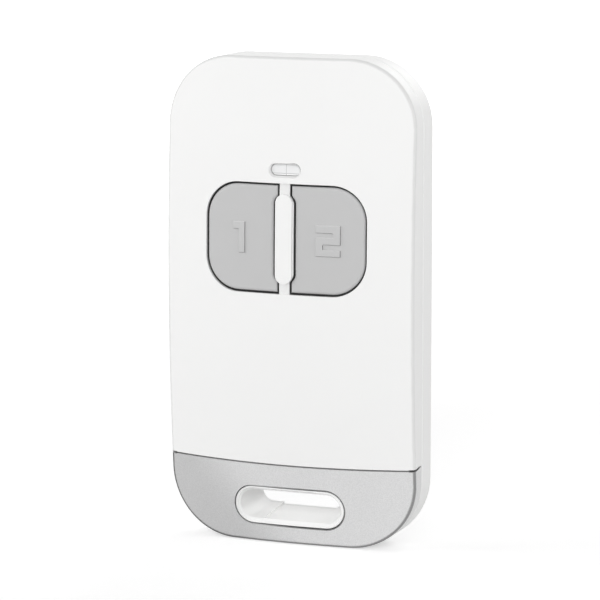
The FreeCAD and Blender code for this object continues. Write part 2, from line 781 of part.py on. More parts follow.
def makeBridge():
    # The bar between the two windows, with its raised ridge
    body = newBody("front_cover_bridge")
    lap = s.wall / 3
    low = s.windowLow - lap
    high = s.windowHigh + lap
    centre = (s.windowLow + s.windowHigh) / 2
    notchLow = centre - s.ridgeLength / 2
    notchHigh = centre + s.ridgeLength / 2
    backOfBar = faceY + s.wall
    sketch = frontSketch(body, "bridge_outline", backOfBar)
    bridgeShape(sketch, low, high, notchLow, notchHigh)
    half = padForward(body, "bridge_half", sketch, s.wall)
    mirrorAcross(body, "bridge_bar", [half])
    crownCut(body, "bridge_crown", s.bridgeRecess)
    sketch = frontSketch(body, "ridge_outline", backOfBar)
    uprightSlot(sketch, middle, centre, s.ridgeWidth, s.ridgeLength)
    padForward(body, "bridge_ridge", sketch, s.wall + s.trimSpare)
    crownCut(body, "ridge_crown", -s.ridgeHeight)
    return body


def frontInsides():
    # The bulkhead over the end cap with its two screw lugs, and the posts that hold the board
    body = newBody("front_cover_insides")
    body.AllowCompound = True
    bulkheadBack = partingY - s.fitGap
    bulkheadLow = seamLine(partingY) + s.seamGap
    halfWidth = s.bodyWidth / 2 - s.wall - s.fitGap * 2
    sketch = frontSketch(body, "bulkhead_outline", bulkheadBack)
    boxShape(sketch, -halfWidth, halfWidth, bulkheadLow, s.lugHigh)
    padForward(body, "bulkhead", sketch, bulkheadBack - faceY)
    sketch = frontSketch(body, "lug_outline", lugBack)
    boxShape(sketch, s.screwX - s.lugWidth / 2, s.screwX + s.lugWidth / 2, s.screwHeight, s.lugHigh)
    lug = padForward(body, "lug", sketch, s.lugThickness)
    sketch = frontSketch(body, "lug_end_outline", lugBack)
    circleShape(sketch, s.screwX, s.screwHeight, s.lugWidth)
    lugEnd = padForward(body, "lug_end", sketch, s.lugThickness)
    sketch = frontSketch(body, "lug_hole_outline", lugBack)
    circleShape(sketch, s.screwX, s.screwHeight, s.screwDiameter + 4 * s.fitGap)
    lugHole = pocketForward(body, "lug_hole", sketch, s.lugThickness)
    postBack = boardFrontY - s.restGap
    sketch = frontSketch(body, "front_post_outline", postBack)
    for height in (s.postLow, upperPosts):
        circleShape(sketch, s.postX, height, s.postDiameter)
    posts = padForward(body, "front_posts", sketch, postBack - faceY)
    sketch = frontSketch(body, "front_post_bores_outline", postBack)
    for height in (s.postLow, upperPosts):
        circleShape(sketch, s.postX, height, s.pinHole)
    bores = pocketForward(body, "front_post_bores", sketch, 2 * s.pinReach)
    mirrorAcross(body, "front_insides_mirrored", [lug, lugEnd, lugHole, posts, bores])
    crownCut(body, "front_insides_crown", s.wall / 2)
    return body


def lightSection(body, name, depth):
    # A section of the bevel round the light window, a depth behind the face
    grow = s.lightBevel - depth
    sketch = frontSketch(body, name, faceY + sag(middle, s.lightHeight) + depth)
    slotShape(sketch, middle, s.lightHeight, s.lightLength + 2 * grow, s.lightWidth + 2 * grow)
    return sketch


def makeFrontCover():
    body = domedShell("front_cover")
    cutAtSeam(body, "front_cover_seam", -s.cutMargin, s.seamGap / 2)
    cutRebate(body, "front_cover_rebate")
    sketch = frontSketch(body, "window_outline", partingY)
    roundedRectangle(sketch, -s.windowOuter, s.windowOuter, s.windowLow, s.windowHigh, s.windowRadius)
    pocketForward(body, "window", sketch, s.bodyThickness)
    sketch = frontSketch(body, "light_window_outline", partingY)
    slotShape(sketch, middle, s.lightHeight, s.lightLength, s.lightWidth)
    pocketForward(body, "light_window", sketch, s.bodyThickness)
    cutLoft(body, "light_window_bevel", lightSection(body, "light_bevel_front", -s.lightBevel),
            lightSection(body, "light_bevel_back", 2 * s.lightBevel))
    join(body, "front_cover_with_bridge", makeBridge())
    join(body, "front_cover_with_insides", frontInsides())
    return body


def makeEndCap():
    insides = newBody("end_cap_insides")
    insides.AllowCompound = True
    sketch = pullSketch(insides, "peg_outline", partingY + s.pegLength, s.pegHeight)
    circleShape(sketch, s.pegX, s.pegHeight / cosine(s.seamTilt), s.pegDiameter)
    pegs = padForward(insides, "peg", sketch, s.pegLength + partingY - faceY)
    mirrorAcross(insides, "pegs_mirrored", [pegs])
    crownCut(insides, "pegs_crown", s.wall / 2)
    body = domedShell("end_cap")
    cutAtSeam(body, "end_cap_seam", s.bodyLength + s.cutMargin, -s.seamGap / 2)
    cutRebate(body, "end_cap_rebate")
    sketch = frontSketch(body, "cap_slot_outline", partingY)
    slotShape(sketch, middle, s.slotHeight, s.slotLength, s.slotWidth)
    pocketForward(body, "cap_slot", sketch, s.bodyThickness)
    join(body, "end_cap_with_pegs", insides)
    return body


def boreSection(body, name, y, low, inset=flush):
    sketch = frontSketch(body, name, y)
    slotShape(sketch, middle, (low + boreHigh) / 2, boreLength - 2 * inset, boreHigh - low)
    return sketch


def trackSection(body, name, y, low):
    sketch = frontSketch(body, name, y)
    boxShape(sketch, -s.trackWidth / 2, s.trackWidth / 2, low - s.trackDepth, low + s.trackDepth)
    return sketch


def cutLoft(body, name, first, last):
    feature = body.newObject("PartDesign::SubtractiveLoft", name)
    feature.Profile = first
    feature.Sections = [last]
    feature.Ruled = True
    first.Visibility = False
    last.Visibility = False
    body.Tip = feature
    doc.recompute()


def makeRearCover():
    body = newBody("rear_cover")
    body.AllowCompound = True
    sketch = frontSketch(body, "rear_outline", partingY)
    outline(sketch, flush)
    padBackward(body, "rear_block", sketch, s.rearDepth)
    roundEdges(body, "rear_bevel", "Chamfer", onPartingPlane, s.partingBevel)
    roundEdges(body, "rear_edge", "Fillet",
               lambda edge: abs(edge.CenterOfMass.y - backY.value) < nearZero, s.rearRounding)
    sketch = frontSketch(body, "rear_hollow_outline", partingY)
    outline(sketch, s.wall)
    pocketBackward(body, "rear_hollow", sketch, s.rearDepth - s.wall)
    # tongue round the rim
    sketch = frontSketch(body, "tongue_outline", partingY)
    tongueInset = s.wall / 2 + s.fitGap
    outline(sketch, tongueInset)
    outline(sketch, tongueInset + s.tongueThickness)
    padForward(body, "tongue", sketch, s.tongueDepth)
    join(body, "rear_cover_with_sleeve", makeSleeve())
    cutSleeveBore(body)
    addBoardPosts(body)
    addScrewBosses(body)
    addPegSockets(body)
    addCradle(body)
    return body


def makeSleeve():
    # Keyring sleeve: an oval tube from the back to just under the cap's face
    body = newBody("rear_cover_sleeve")
    root = backY - s.wall / 2
    sketch = frontSketch(body, "sleeve_outline", root)
    slotShape(sketch, middle, s.slotHeight, sleeveLength, sleeveWidth)
    padForward(body, "sleeve", sketch, root - faceY)
    crownCut(body, "sleeve_crown", s.sleeveRecess)
    mouth = boreSection(body, "mouth_outline", mouthEnd, boreLow)
    pocketForward(body, "sleeve_mouth", mouth, mouthEnd - faceY + s.trimSpare)
    cutLoft(body, "sleeve_flare", flareSection(body, "flare_front", 2 * s.flareDepth),
            flareSection(body, "flare_back", -s.flareDepth / 2))
    return body


def flareSection(body, name, ahead):
    # A section of the slanted lip, a distance in front of the flare's inner edge
    flareEnd = faceY + s.sleeveRecess + sag(middle, s.slotHeight) + s.flareDepth
    grow = s.flareWidth * ahead / s.flareDepth
    sketch = pullSketch(body, name, flareEnd - ahead, s.slotHeight)
    slotShape(sketch, middle, s.slotHeight / cosine(s.seamTilt), boreLength + 2 * grow,
              boreHigh - boreLow + 2 * grow)
    return sketch


def cutSleeveBore(body):
    # Behind its mouth the bore narrows to the back, and its floor climbs
    frontBore = boreSection(body, "bore_front", mouthEnd, boreLow)
    backBore = boreSection(body, "bore_back", backY, boreLow + s.sleeveRamp, s.sleeveTaper)
    cutLoft(body, "sleeve_bore", frontBore, backBore)
    frontTrack = trackSection(body, "track_front", mouthEnd - s.sleeveMouth / 2, boreLow)
    backTrack = trackSection(body, "track_back", backY, boreLow + s.sleeveRamp)
    cutLoft(body, "sleeve_track", frontTrack, backTrack)


def addBoardPosts(body):
    # Four posts with locating pins, which carry the board on the parting plane
    root = floorY + s.wall / 2
    top = boardBackY + s.restGap
    sketch = frontSketch(body, "rear_posts_outline", root)
    for height in (s.postLow, upperPosts):
        circleShape(sketch, s.postX, height, s.postDiameter)
    posts = padForward(body, "rear_posts", sketch, root - top)
    sketch = frontSketch(body, "pins_outline", root)
    for height in (s.postLow, upperPosts):
        circleShape(sketch, s.postX, height, s.pinDiameter)
    pins = padForward(body, "locating_pins", sketch, root - boardFrontY + s.pinReach)
    mirrorAcross(body, "rear_posts_mirrored", [posts, pins])


def addScrewBosses(body):
    root = floorY + s.wall / 2
    sketch = frontSketch(body, "bosses_outline", root)
    circleShape(sketch, s.screwX, s.screwHeight, s.bossDiameter)
    boss = padForward(body, "screw_boss", sketch, root - bossTop)
    sketch = frontSketch(body, "boss_hole_outline", bossTop)
    circleShape(sketch, s.screwX, s.screwHeight, s.screwDiameter)
    hole = pocketBackward(body, "boss_hole", sketch, s.screwLength)
    mirrorAcross(body, "screw_bosses_mirrored", [boss, hole])


def addPegSockets(body):
    # Sockets that grip the end cap's pegs, which lean with the seam
    root = floorY + s.wall / 2
    bore = s.pegDiameter + 2 * s.fitGap
    sketch = frontSketch(body, "sockets_outline", root)
    circleShape(sketch, s.pegX, s.pegHeight, bore + 2 * s.socketWall)
    socket = padForward(body, "peg_socket", sketch, root - partingY)
    sketch = pullSketch(body, "socket_bore_outline", partingY + s.pegLength + s.fitGap, s.pegHeight)
    circleShape(sketch, s.pegX, s.pegHeight / cosine(s.seamTilt), bore)
    hole = pocketForward(body, "peg_socket_bore", sketch, s.pegLength + s.trimSpare)
    mirrorAcross(body, "peg_sockets_mirrored", [socket, hole])


def addCradle(body):
    # A ring round the coin cell, open at both sides for the clip
    inner = s.cellDiameter + 2 * s.cradleGap
    root = floorY + s.wall / 2
    top = boardBackY + s.cradleStand
    sketch = frontSketch(body, "cradle_outline", root)
    circleShape(sketch, middle, s.cellHeight, inner)
    circleShape(sketch, middle, s.cellHeight, inner + 2 * s.cradleWall)
    padForward(body, "cradle", sketch, root - top)
    sketch = frontSketch(body, "cradle_openings_outline", floorY)
    outer = inner / 2 + s.cradleWall + s.trimSpare
    low = s.cellHeight - s.cradleSlot / 2
    high = s.cellHeight + s.cradleSlot / 2
    boxShape(sketch, inner / 2 - s.trimSpare, outer, low, high)
    side = pocketForward(body, "cradle_opening", sketch, floorY - top)
    mirrorAcross(body, "cradle_openings_mirrored", [side])


def makeKey(label):
    # A rigid key: a domed top in the window, a rim under the cover and a stem behind
    body = newBody(label)
    rimBack = boardFrontY - s.flangeStand
    sketch = frontSketch(body, label + "_rim_outline", rimBack)
    keyShape(sketch, s.flangeWidth, s.flangeInner)
    padForward(body, label + "_rim", sketch, rimBack - faceY)
    crownCut(body, label + "_rim_crown", s.wall + s.fitGap)
    sketch = frontSketch(body, label + "_top_outline", rimBack)
    keyTopShape(sketch, s.buttonGap)
    padForward(body, label + "_top", sketch, rimBack - faceY + s.trimSpare)
    crownCut(body, label + "_top_crown", s.buttonRecess)
    roundEdges(body, label + "_top_edge", "Fillet", onKeyTop, s.buttonRounding)
    sketch = frontSketch(body, label + "_hollow_outline", rimBack)
    keyShape(sketch, -s.keyWall, -s.keyWall)
    pocketForward(body, label + "_hollow", sketch, s.keyHollow)
    stemBack = boardFrontY - s.switchThickness - s.frameThickness - s.plungerReach - s.restGap
    sketch = frontSketch(body, label + "_stem_outline", stemBack)
    circleShape(sketch, s.switchX, s.switchHeight, s.stemDiameter)
    padForward(body, label + "_stem", sketch, stemBack - faceY - s.keyWall)
    return body


def onKeyTop(edge):
    for parameter in (edge.FirstParameter, (edge.FirstParameter + edge.LastParameter) / 2,
                      edge.LastParameter):
        point = edge.valueAt(parameter)
        top = faceY + s.buttonRecess + sag(sized(point.x), sized(point.z))
        if abs(point.y - top.value) > s.buttonRounding.value / 4:
            return False
    return True


def makeLightGuide():
    # A clear guide whose face fills the window; its stem ends over the indicator diode
    body = newBody("light_guide")
    rimBack = faceY + s.wall + s.fitGap + s.lightFlangeThickness + sag(middle, s.lightHeight)
    sketch = frontSketch(body, "guide_rim_outline", rimBack)
    slotShape(sketch, middle, s.lightHeight, s.lightLength + 2 * s.lightFlange,
              s.lightWidth + 2 * s.lightFlange)
    padForward(body, "guide_rim", sketch, rimBack - faceY)
    crownCut(body, "guide_rim_crown", s.wall + s.fitGap)
    sketch = frontSketch(body, "guide_face_outline", rimBack)
    slotShape(sketch, middle, s.lightHeight, s.lightLength - 2 * s.fitGap, s.lightWidth - 2 * s.fitGap)
    padForward(body, "guide_face", sketch, rimBack - faceY + s.trimSpare)
    crownCut(body, "guide_face_crown", s.lightRecess)
    stemBack = boardFrontY - s.ledThickness - s.restGap
    sketch = frontSketch(body, "guide_stem_outline", stemBack)
    boxShape(sketch, -s.ledLength / 2, s.ledLength / 2,
             s.lightHeight - s.ledWidth / 2, s.lightHeight + s.ledWidth / 2)
    padForward(body, "guide_stem", sketch, stemBack - rimBack + s.lightFlangeThickness / 2)
    return body


def makeBoard():
    body = newBody("circuit_board")
    sketch = frontSketch(body, "board_outline", boardBackY)
    right = s.bodyWidth / 2 - s.boardInset
    high = s.bodyLength - s.boardInset
    radius = s.cornerRadius - s.boardInset
    shapes = [
        line(-right, s.boardLow, right, s.boardLow),
        line(right, s.boardLow, right, high - radius),
        (arcShape(right - radius, high - radius, radius, 0, 90), 1, 2),
        line(right - radius, high, radius - right, high),
        (arcShape(radius - right, high - radius, radius, 90, 180), 1, 2),
        line(-right, high - radius, -right, s.boardLow),
    ]
    first = addLoop(sketch, shapes)
    sketch.addConstraint(Sketcher.Constraint("Horizontal", first))
    sketch.addConstraint(Sketcher.Constraint("Horizontal", first + 3))
    sketch.addConstraint(Sketcher.Constraint("Vertical", first + 1))
    sketch.addConstraint(Sketcher.Constraint("Vertical", first + 5))
    sketch.addConstraint(Sketcher.Constraint("Equal", first + 2, first + 4))
    setRadius(sketch, first + 2, radius)
    fix(sketch, "DistanceX", first, 1, -right)
    fix(sketch, "DistanceX", first + 1, 1, right)
    fix(sketch, "DistanceY", first, 1, s.boardLow)
    fix(sketch, "DistanceY", first + 3, 1, high)
    for x in (-s.postX, s.postX):
        for height in (s.postLow, upperPosts):
            circleShape(sketch, x, height, s.pinHole)
    padForward(body, "board_sheet", sketch, s.boardThickness)
    return body


def makeCoinCell():
    # Turned about the axis of the cell: the small face looks to the board, the can to the back
    body = newBody("coin_cell")
    near = boardBackY + s.contactThickness + s.restGap
    far = near + s.cellThickness
    radius = s.cellDiameter / 2
    sketch = sketchOn(body, "cell_profile", "XY_Plane", s.cellHeight)
    polygonShape(sketch, [
        (middle, near),
        (radius - 2 * s.cellRim, near),
        (radius - 2 * s.cellRim, near + s.cellRim / 2),
        (radius - s.cellRim / 2, near + s.cellRim / 2),
        (radius, near + s.cellRim),
        (radius, far - s.cellRim / 2),
        (radius - s.cellRim / 2, far),
        (middle, far),
    ])
    feature = body.newObject("PartDesign::Revolution", "cell_turned")
    feature.Profile = sketch
    feature.ReferenceAxis = (sketch, ["V_Axis"])
    feature.Angle = 360
    sketch.Visibility = False
    body.Tip = feature
    doc.recompute()
    return body


def makeClip():
    # A bent strip of spring steel over the cell, with feet on the back of the board
    body = newBody("positive_clip")
    cellBack = boardBackY + s.contactThickness + s.restGap + s.cellThickness
    inner = cellBack + s.restGap
    outer = inner + s.clipThickness
    side = s.cellDiameter / 2 + s.cradleGap / 2
    foot = side + s.clipThickness + s.clipFoot
    sketch = sketchOn(body, "clip_profile", "XY_Plane", s.cellHeight)
    half = [
        (side, inner),
        (side, boardBackY),
        (foot, boardBackY),
        (foot, boardBackY + s.clipThickness),
        (side + s.clipThickness, boardBackY + s.clipThickness),
        (side + s.clipThickness, outer),
    ]
    mirrored = [(-x, y) for x, y in reversed(half)]
    polygonShape(sketch, half + mirrored)
    feature = body.newObject("PartDesign::Pad", "clip_strip")
    feature.Profile = sketch
    feature.Midplane = True
    bind(feature, Length=s.clipWidth)
    sketch.Visibility = False
    body.Tip = feature
    doc.recompute()
    return body


def block(label, left, right, near, far, low, high):
    # A box between two planes along each axis; near is towards the front
    box = doc.addObject("Part::Box", label)
    bind(box, Length=right - left, Width=far - near, Height=high - low)
    box.setExpression("Placement.Base.x", sized(left).text)
    box.setExpression("Placement.Base.y", sized(near).text)
    box.setExpression("Placement.Base.z", sized(low).text)
    return box


def rod(label, x, z, near, far, diameter):
    # A cylinder along Y
    cylinder = doc.addObject("Part::Cylinder", label)
    bind(cylinder, Radius=diameter / 2, Height=far - near)
    cylinder.Placement = FreeCAD.Placement(
        FreeCAD.Vector(), FreeCAD.Rotation(FreeCAD.Vector(1, 0, 0), -90))
    cylinder.setExpression("Placement.Base.x", sized(x).text)
    cylinder.setExpression("Placement.Base.y", sized(near).text)
    cylinder.setExpression("Placement.Base.z", sized(z).text)
    return cylinder


def fused(label, pieces):
    union = doc.addObject("Part::MultiFuse", label)
    union.Shapes = pieces
    union.Label = label
    return union


def grouped(label, pieces):
    group = doc.addObject("Part::Compound", label)
    group.Links = pieces
    group.Label = label
    return group


def difference(label, base, tool):
    cut = doc.addObject("Part::Cut", label)
    cut.Base = base
    cut.Tool = tool
    cut.Label = label
    return cut


def makeSwitch(number, x):
    # A tactile switch on the board: a housing, a sheet frame over it and a round plunger
    half = s.switchSide / 2
    low = s.switchHeight - half
    high = s.switchHeight + half
    top = boardFrontY - s.switchThickness
    frameTop = top - s.frameThickness
    name = "switch_%d" % number
    well = s.plungerDiameter + 2 * s.fitGap
    sunk = top + s.plungerReach
    housing = difference(
        name + "_housing",
        block(name + "_block", x - half, x + half, top, boardFrontY, low, high),
        rod(name + "_well", x, s.switchHeight, top, sunk, well))
    frame = difference(
        name + "_frame",
        block(name + "_sheet", x - half, x + half, frameTop, top, low, high),
        rod(name + "_frame_hole", x, s.switchHeight, frameTop, top, well))
    plunger = rod(name + "_plunger", x, s.switchHeight, frameTop - s.plungerReach,
                  top + s.plungerReach - s.buttonTravel - s.restGap, s.plungerDiameter)
    return [housing, frame, plunger]


def makeController():
    low = s.chipHeight - s.chipLength / 2
    high = s.chipHeight + s.chipLength / 2
    left = s.chipX - s.chipWidth / 2
    right = s.chipX + s.chipWidth / 2
    stand = boardFrontY - s.legThickness
    pieces = [block("controller_package", left, right,
                    stand - s.chipThickness, stand, low, high)]
    for side, start, end in (("left", left - s.legReach, left + s.legThickness),
                             ("right", right - s.legThickness, right + s.legReach)):
        for leg in range(legsPerSide):
            z = s.chipHeight + (leg - (legsPerSide - 1) / 2) * s.legPitch
            pieces.append(block("controller_leg_%s_%d" % (side, leg), start, end,
                                stand, boardFrontY, z - s.legWidth / 2, z + s.legWidth / 2))
    return fused("controller", pieces)


def chip(label, x, z, length, width, thickness):
    # A flat package on the front of the board
    return block(label, x - length / 2, x + length / 2, boardFrontY - thickness, boardFrontY,
                 z - width / 2, z + width / 2)


def makeSmallParts(label, places, thickness):
    # Small packages on the board, one at each place (x, z)
    pieces = []
    for number, (x, z) in enumerate(places):
        pieces.append(chip("%s_%d" % (label, number), x, z, s.smallLength, s.smallWidth, thickness))
    return grouped(label, pieces)


def rowOf(x, z, names):
    # Places in a row, one for each name
    return [(x + index * s.smallPitch, z) for index, name in enumerate(names)]


def makeAntenna():
    # A wire loop that stands off the board on its two feet
    body = newBody("antenna")
    wireY = boardFrontY - s.antennaStand - s.antennaWire / 2
    left = -s.antennaSpan / 2
    right = s.antennaSpan / 2
    bend = s.antennaBend
    path = frontSketch(body, "antenna_path", wireY)
    shapes = [
        line(left, antennaFoot, left, antennaHigh - bend),
        (arcShape(left + bend, antennaHigh - bend, bend, 90, 180), 2, 1),
        line(left + bend, antennaHigh, right - bend, antennaHigh),
        (arcShape(right - bend, antennaHigh - bend, bend, 0, 90), 2, 1),
        line(right, antennaHigh - bend, right, antennaFoot),
    ]
    for shape, start, end in shapes:
        path.addGeometry(shape, False)
    for index in range(4):
        path.addConstraint(Sketcher.Constraint(
            "Tangent", index, shapes[index][2], index + 1, shapes[index + 1][1]))
    path.addConstraint(Sketcher.Constraint("Vertical", 0))
    path.addConstraint(Sketcher.Constraint("Horizontal", 2))
    path.addConstraint(Sketcher.Constraint("Vertical", 4))
    setRadius(path, 1, bend)
    setRadius(path, 3, bend)
    fix(path, "DistanceX", 0, 1, left)
    fix(path, "DistanceY", 0, 1, antennaFoot)
    fix(path, "DistanceY", 2, 1, antennaHigh)
    fix(path, "DistanceX", 4, 2, right)
    fix(path, "DistanceY", 4, 2, antennaFoot)
    ring = sketchOn(body, "antenna_section", "XY_Plane", antennaFoot)
    circleShape(ring, left, wireY, s.antennaWire)
    pipe = body.newObject("PartDesign::AdditivePipe", "antenna_wire")
    pipe.Profile = ring
    pipe.Spine = (path, ["Edge%d" % (index + 1) for index in range(5)])
    ring.Visibility = False
    path.Visibility = False
    body.Tip = pipe
    doc.recompute()
    feet = frontSketch(body, "antenna_feet_outline", boardFrontY)
    for x in (left, right):
        circleShape(feet, x, antennaFoot, s.antennaWire)
    padForward(body, "antenna_feet", feet, s.antennaStand + s.antennaWire)
    return body


def makeScrews():
    # Two pan-head screws through the front cover's lugs
    pieces = []
    for name, x in (("left", -s.screwX), ("right", s.screwX)):
        head = rod("screw_head_" + name, x, s.screwHeight, screwSeat - s.screwHeadHeight,
                   screwSeat, s.screwHead)
        shank = rod("screw_shank_" + name, x, s.screwHeight, screwSeat - s.screwHeadHeight / 2,
                    screwSeat + s.screwLength, s.screwDiameter - 2 * s.restGap)
        pieces.append(fused("screw_" + name, [head, shank]))
    return grouped("case_screws", pieces)


front = makeFrontCover()
cap = makeEndCap()
rear = makeRearCover()
key = makeKey("button_2")
mirroredKey = doc.addObject("Part::Mirroring", "button_1")
mirroredKey.Label = "button_1"
mirroredKey.Source = key
mirroredKey.Normal = FreeCAD.Vector(1, 0, 0)

contact = rod("negative_contact", middle, s.cellHeight, boardBackY,
              boardBackY + s.contactThickness, s.contactDiameter)
diode = chip("indicator_diode", middle, s.lightHeight, s.ledLength, s.ledWidth, s.ledThickness)
radio = chip("transmitter", s.radioX, s.radioHeight, s.radioSide, s.radioSide, s.radioThickness)
crystal = chip("crystal", s.radioX, s.crystalHeight, s.crystalLength, s.crystalWidth,
               s.crystalThickness)
resistorPlaces = rowOf(s.rowLeft, s.rowMiddle, "abc") + rowOf(s.rowLeft, s.rowLow, "abc")
resistorPlaces += rowOf(s.rowTopRight, upperRow, "ab")
capacitorPlaces = rowOf(s.rowRight, s.rowMiddle, "abc") + [(s.loneX, s.crystalHeight)]
capacitorPlaces += rowOf(s.rowTopLeft, upperRow, "ab")

pieces = [front, cap, rear, key, mirroredKey, makeLightGuide(), makeBoard(), makeCoinCell(),
          makeClip(), contact, diode, radio, crystal, makeController(), makeAntenna(),
          makeSmallParts("resistors", resistorPlaces, s.resistorThickness),
          makeSmallParts("capacitors", capacitorPlaces, s.capacitorThickness),
          makeScrews()]
pieces += makeSwitch(1, -s.switchX)
pieces += makeSwitch(2, s.switchX)
doc.recompute()

for thing in doc.Objects:
    if "Invalid" in thing.State or "Error" in thing.State:
        raise RuntimeError("%s did not compute: %s" % (thing.Name, thing.State))
os.makedirs("parts", exist_ok=True)
for piece in pieces:
    shape = piece.Shape
    if shape.isNull() or not shape.isValid():
        raise RuntimeError("%s has no valid shape" % piece.Label)
    shape.exportStep("parts/%s.step" % piece.Label)
    print("%-20s solids %d  faces %3d  volume %9.2f" % (
        piece.Label, len(shape.Solids), len(shape.Faces), shape.Volume))
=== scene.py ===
import json
import math

import bmesh
import bpy
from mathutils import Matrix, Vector


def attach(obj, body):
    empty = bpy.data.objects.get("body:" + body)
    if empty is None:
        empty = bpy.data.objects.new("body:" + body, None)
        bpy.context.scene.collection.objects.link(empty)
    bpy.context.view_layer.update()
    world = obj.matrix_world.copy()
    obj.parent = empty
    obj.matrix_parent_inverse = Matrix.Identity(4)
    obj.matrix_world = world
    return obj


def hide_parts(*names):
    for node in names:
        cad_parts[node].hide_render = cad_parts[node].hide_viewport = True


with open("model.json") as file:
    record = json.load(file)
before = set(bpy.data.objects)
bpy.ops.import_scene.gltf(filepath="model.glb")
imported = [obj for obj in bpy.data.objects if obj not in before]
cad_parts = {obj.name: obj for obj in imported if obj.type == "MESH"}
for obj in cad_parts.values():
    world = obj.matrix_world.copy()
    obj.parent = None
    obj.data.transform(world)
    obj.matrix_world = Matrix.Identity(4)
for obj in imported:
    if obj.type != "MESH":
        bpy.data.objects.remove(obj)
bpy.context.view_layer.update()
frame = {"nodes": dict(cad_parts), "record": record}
nodes = frame["nodes"]
mm = 0.001
print("frame loaded with", len(nodes), "nodes")

# The domed face in millimetres, with the sizes of the solid model
dome = {"front": -5.85, "across": 92.3, "along": 347.7, "middle": 41.45, "keyDepth": 0.1}


def domeAt(x, z, depth=0.0):
    # Y of the dome, or of a surface that lies a depth behind it
    side = math.sqrt((dome["across"] - depth) ** 2 - x * x)
    reach = dome["along"] - dome["across"] + side
    return dome["front"] + dome["along"] - math.sqrt(reach ** 2 - (z - dome["middle"]) ** 2)


class Wire:
    # One output of a node, which takes part in sums
    def __init__(self, graph, made, socket):
        self.graph = graph
        self.made = made
        self.socket = socket

    def out(self, name):
        return Wire(self.graph, self.made, self.made.outputs[name])

    def __add__(self, other):
        return self.graph.sum("ADD", self, other)

    def __radd__(self, other):
        return self.graph.sum("ADD", other, self)

    def __sub__(self, other):
        return self.graph.sum("SUBTRACT", self, other)

    def __rsub__(self, other):
        return self.graph.sum("SUBTRACT", other, self)

    def __mul__(self, other):
        return self.graph.sum("MULTIPLY", self, other)

    def __rmul__(self, other):
        return self.graph.sum("MULTIPLY", other, self)

    def __truediv__(self, other):
        return self.graph.sum("DIVIDE", self, other)

    def __rtruediv__(self, other):
        return self.graph.sum("DIVIDE", other, self)

    def __lt__(self, other):
        return self.graph.sum("LESS_THAN", self, other)

    def __gt__(self, other):
        return self.graph.sum("GREATER_THAN", self, other)


class Graph:
    # A node tree and the one way in which nodes are added to it
    def __init__(self, tree):
        self.tree = tree
        self.tree.nodes.clear()

    def node(self, kind, settings=None, sockets=None, output=0):
        made = self.tree.nodes.new("ShaderNode" + kind)
        for name, value in (settings or {}).items():
            setattr(made, name, value)
        for name, value in (sockets or {}).items():
            socket = made.inputs[name]
            if isinstance(value, Wire):
                self.tree.links.new(value.socket, socket)
            else:
                socket.default_value = value
        return Wire(self, made, made.outputs[output] if len(made.outputs) else None)

    def sum(self, operation, first, second=0.0):
        return self.node("Math", {"operation": operation}, {0: first, 1: second})

    def mixed(self, share, first, second, kind="MIX"):
        # Inputs 6 and 7 and output 2 are the colours of a Mix node
        return self.node("Mix", {"data_type": "RGBA", "blend_type": kind},
                         {0: share, 6: first, 7: second}, 2)

    def fade(self, value, start, end):
        # Goes softly from 0 at the start to 1 at the end, which may be the smaller number
        return self.node("MapRange", {"interpolation_type": "SMOOTHSTEP"},
                         {"Value": value, "From Min": start, "From Max": end})

    def axes(self, vector):
        parts = self.node("SeparateXYZ", None, {"Vector": vector})
        return [parts.out(axis) for axis in "XYZ"]


def colour(red, green=None, blue=None):
    # A grey from one number, a colour from three
    if green is None:
        green, blue = red, red
    return (red, green, blue, 1)


def shaded(tint, share):
    return (tint[0] * share, tint[1] * share, tint[2] * share, 1)


class Look(Graph):
    # A material, with its places on the piece and the way its surface faces
    def __init__(self, name):
        self.material = bpy.data.materials.new(name)
        self.material.use_nodes = True
        super().__init__(self.material.node_tree)
        self.place = self.node("TexCoord", output="Object")

    def mmPlaces(self):
        return [axis / mm for axis in self.axes(self.place)]

    def facing(self):
        return self.axes(self.node("TexCoord", output="Normal"))

    def noise(self, scale, detail=2.0, roughness=0.5, place=None):
        return self.node("TexNoise", None, {"Vector": place or self.place, "Scale": scale,
                                            "Detail": detail, "Roughness": roughness})

    def clouded(self, clouds, tint, darker):
        # The colour, a little darker in places
        return self.mixed(clouds, shaded(tint, darker), tint)

    def uneven(self, finish, noise):
        # Roughness that goes half its spread up and down with the noise
        return finish["roughness"] + (noise - 0.5) * finish["roughnessSpread"]

    def bump(self, height, depth, below=None):
        sockets = {"Height": height, "Distance": depth * mm, "Strength": 1.0}
        if below:
            sockets["Normal"] = below
        return self.node("Bump", None, sockets)

    def close(self, sockets):
        surface = self.node("BsdfPrincipled", None, sockets)
        self.node("OutputMaterial", None, {"Surface": surface})
        return self.material


# Painted shade and painted light: each mask is 1 where a plastic's colour is painted darker for shade
# or lighter for light, and 0 elsewhere, with sizes in millimetres

def paintedGapShade(look, paintedShading, x, y, z):
    # Painted shade deep in a gap, by the depth behind the dome, within a box round the gap
    side = look.sum("SQRT", dome["across"] ** 2 - x * x)
    reach = dome["along"] - dome["across"] + side
    high = z - dome["middle"]
    depth = y - dome["front"] - dome["along"] + look.sum("SQRT", reach * reach - high * high)
    left, right, low, top = paintedShading["box"]
    deep = look.fade(depth, paintedShading["start"], paintedShading["end"])
    return deep * (x > left) * (x < right) * (z > low) * (z < top)


def paintedSeamShade(look, paintedShading, x, y, z):
    # Painted shade in the seam over the cap, where it runs round the sides of the front cover
    away = look.sum("ABSOLUTE", z - paintedShading["high"] - (y - paintedShading["ahead"]) * paintedShading["slope"])
    return (away < paintedShading["half"]) * (look.sum("ABSOLUTE", x) > paintedShading["beyond"]) * (y < paintedShading["behind"])


# How far a surface faces ahead, where the painted edge shade sets in after the sides and ends before
# the face
edgeShadeFacing = {"setsIn": (0.12, 0.4), "ends": (0.97, 0.85)}


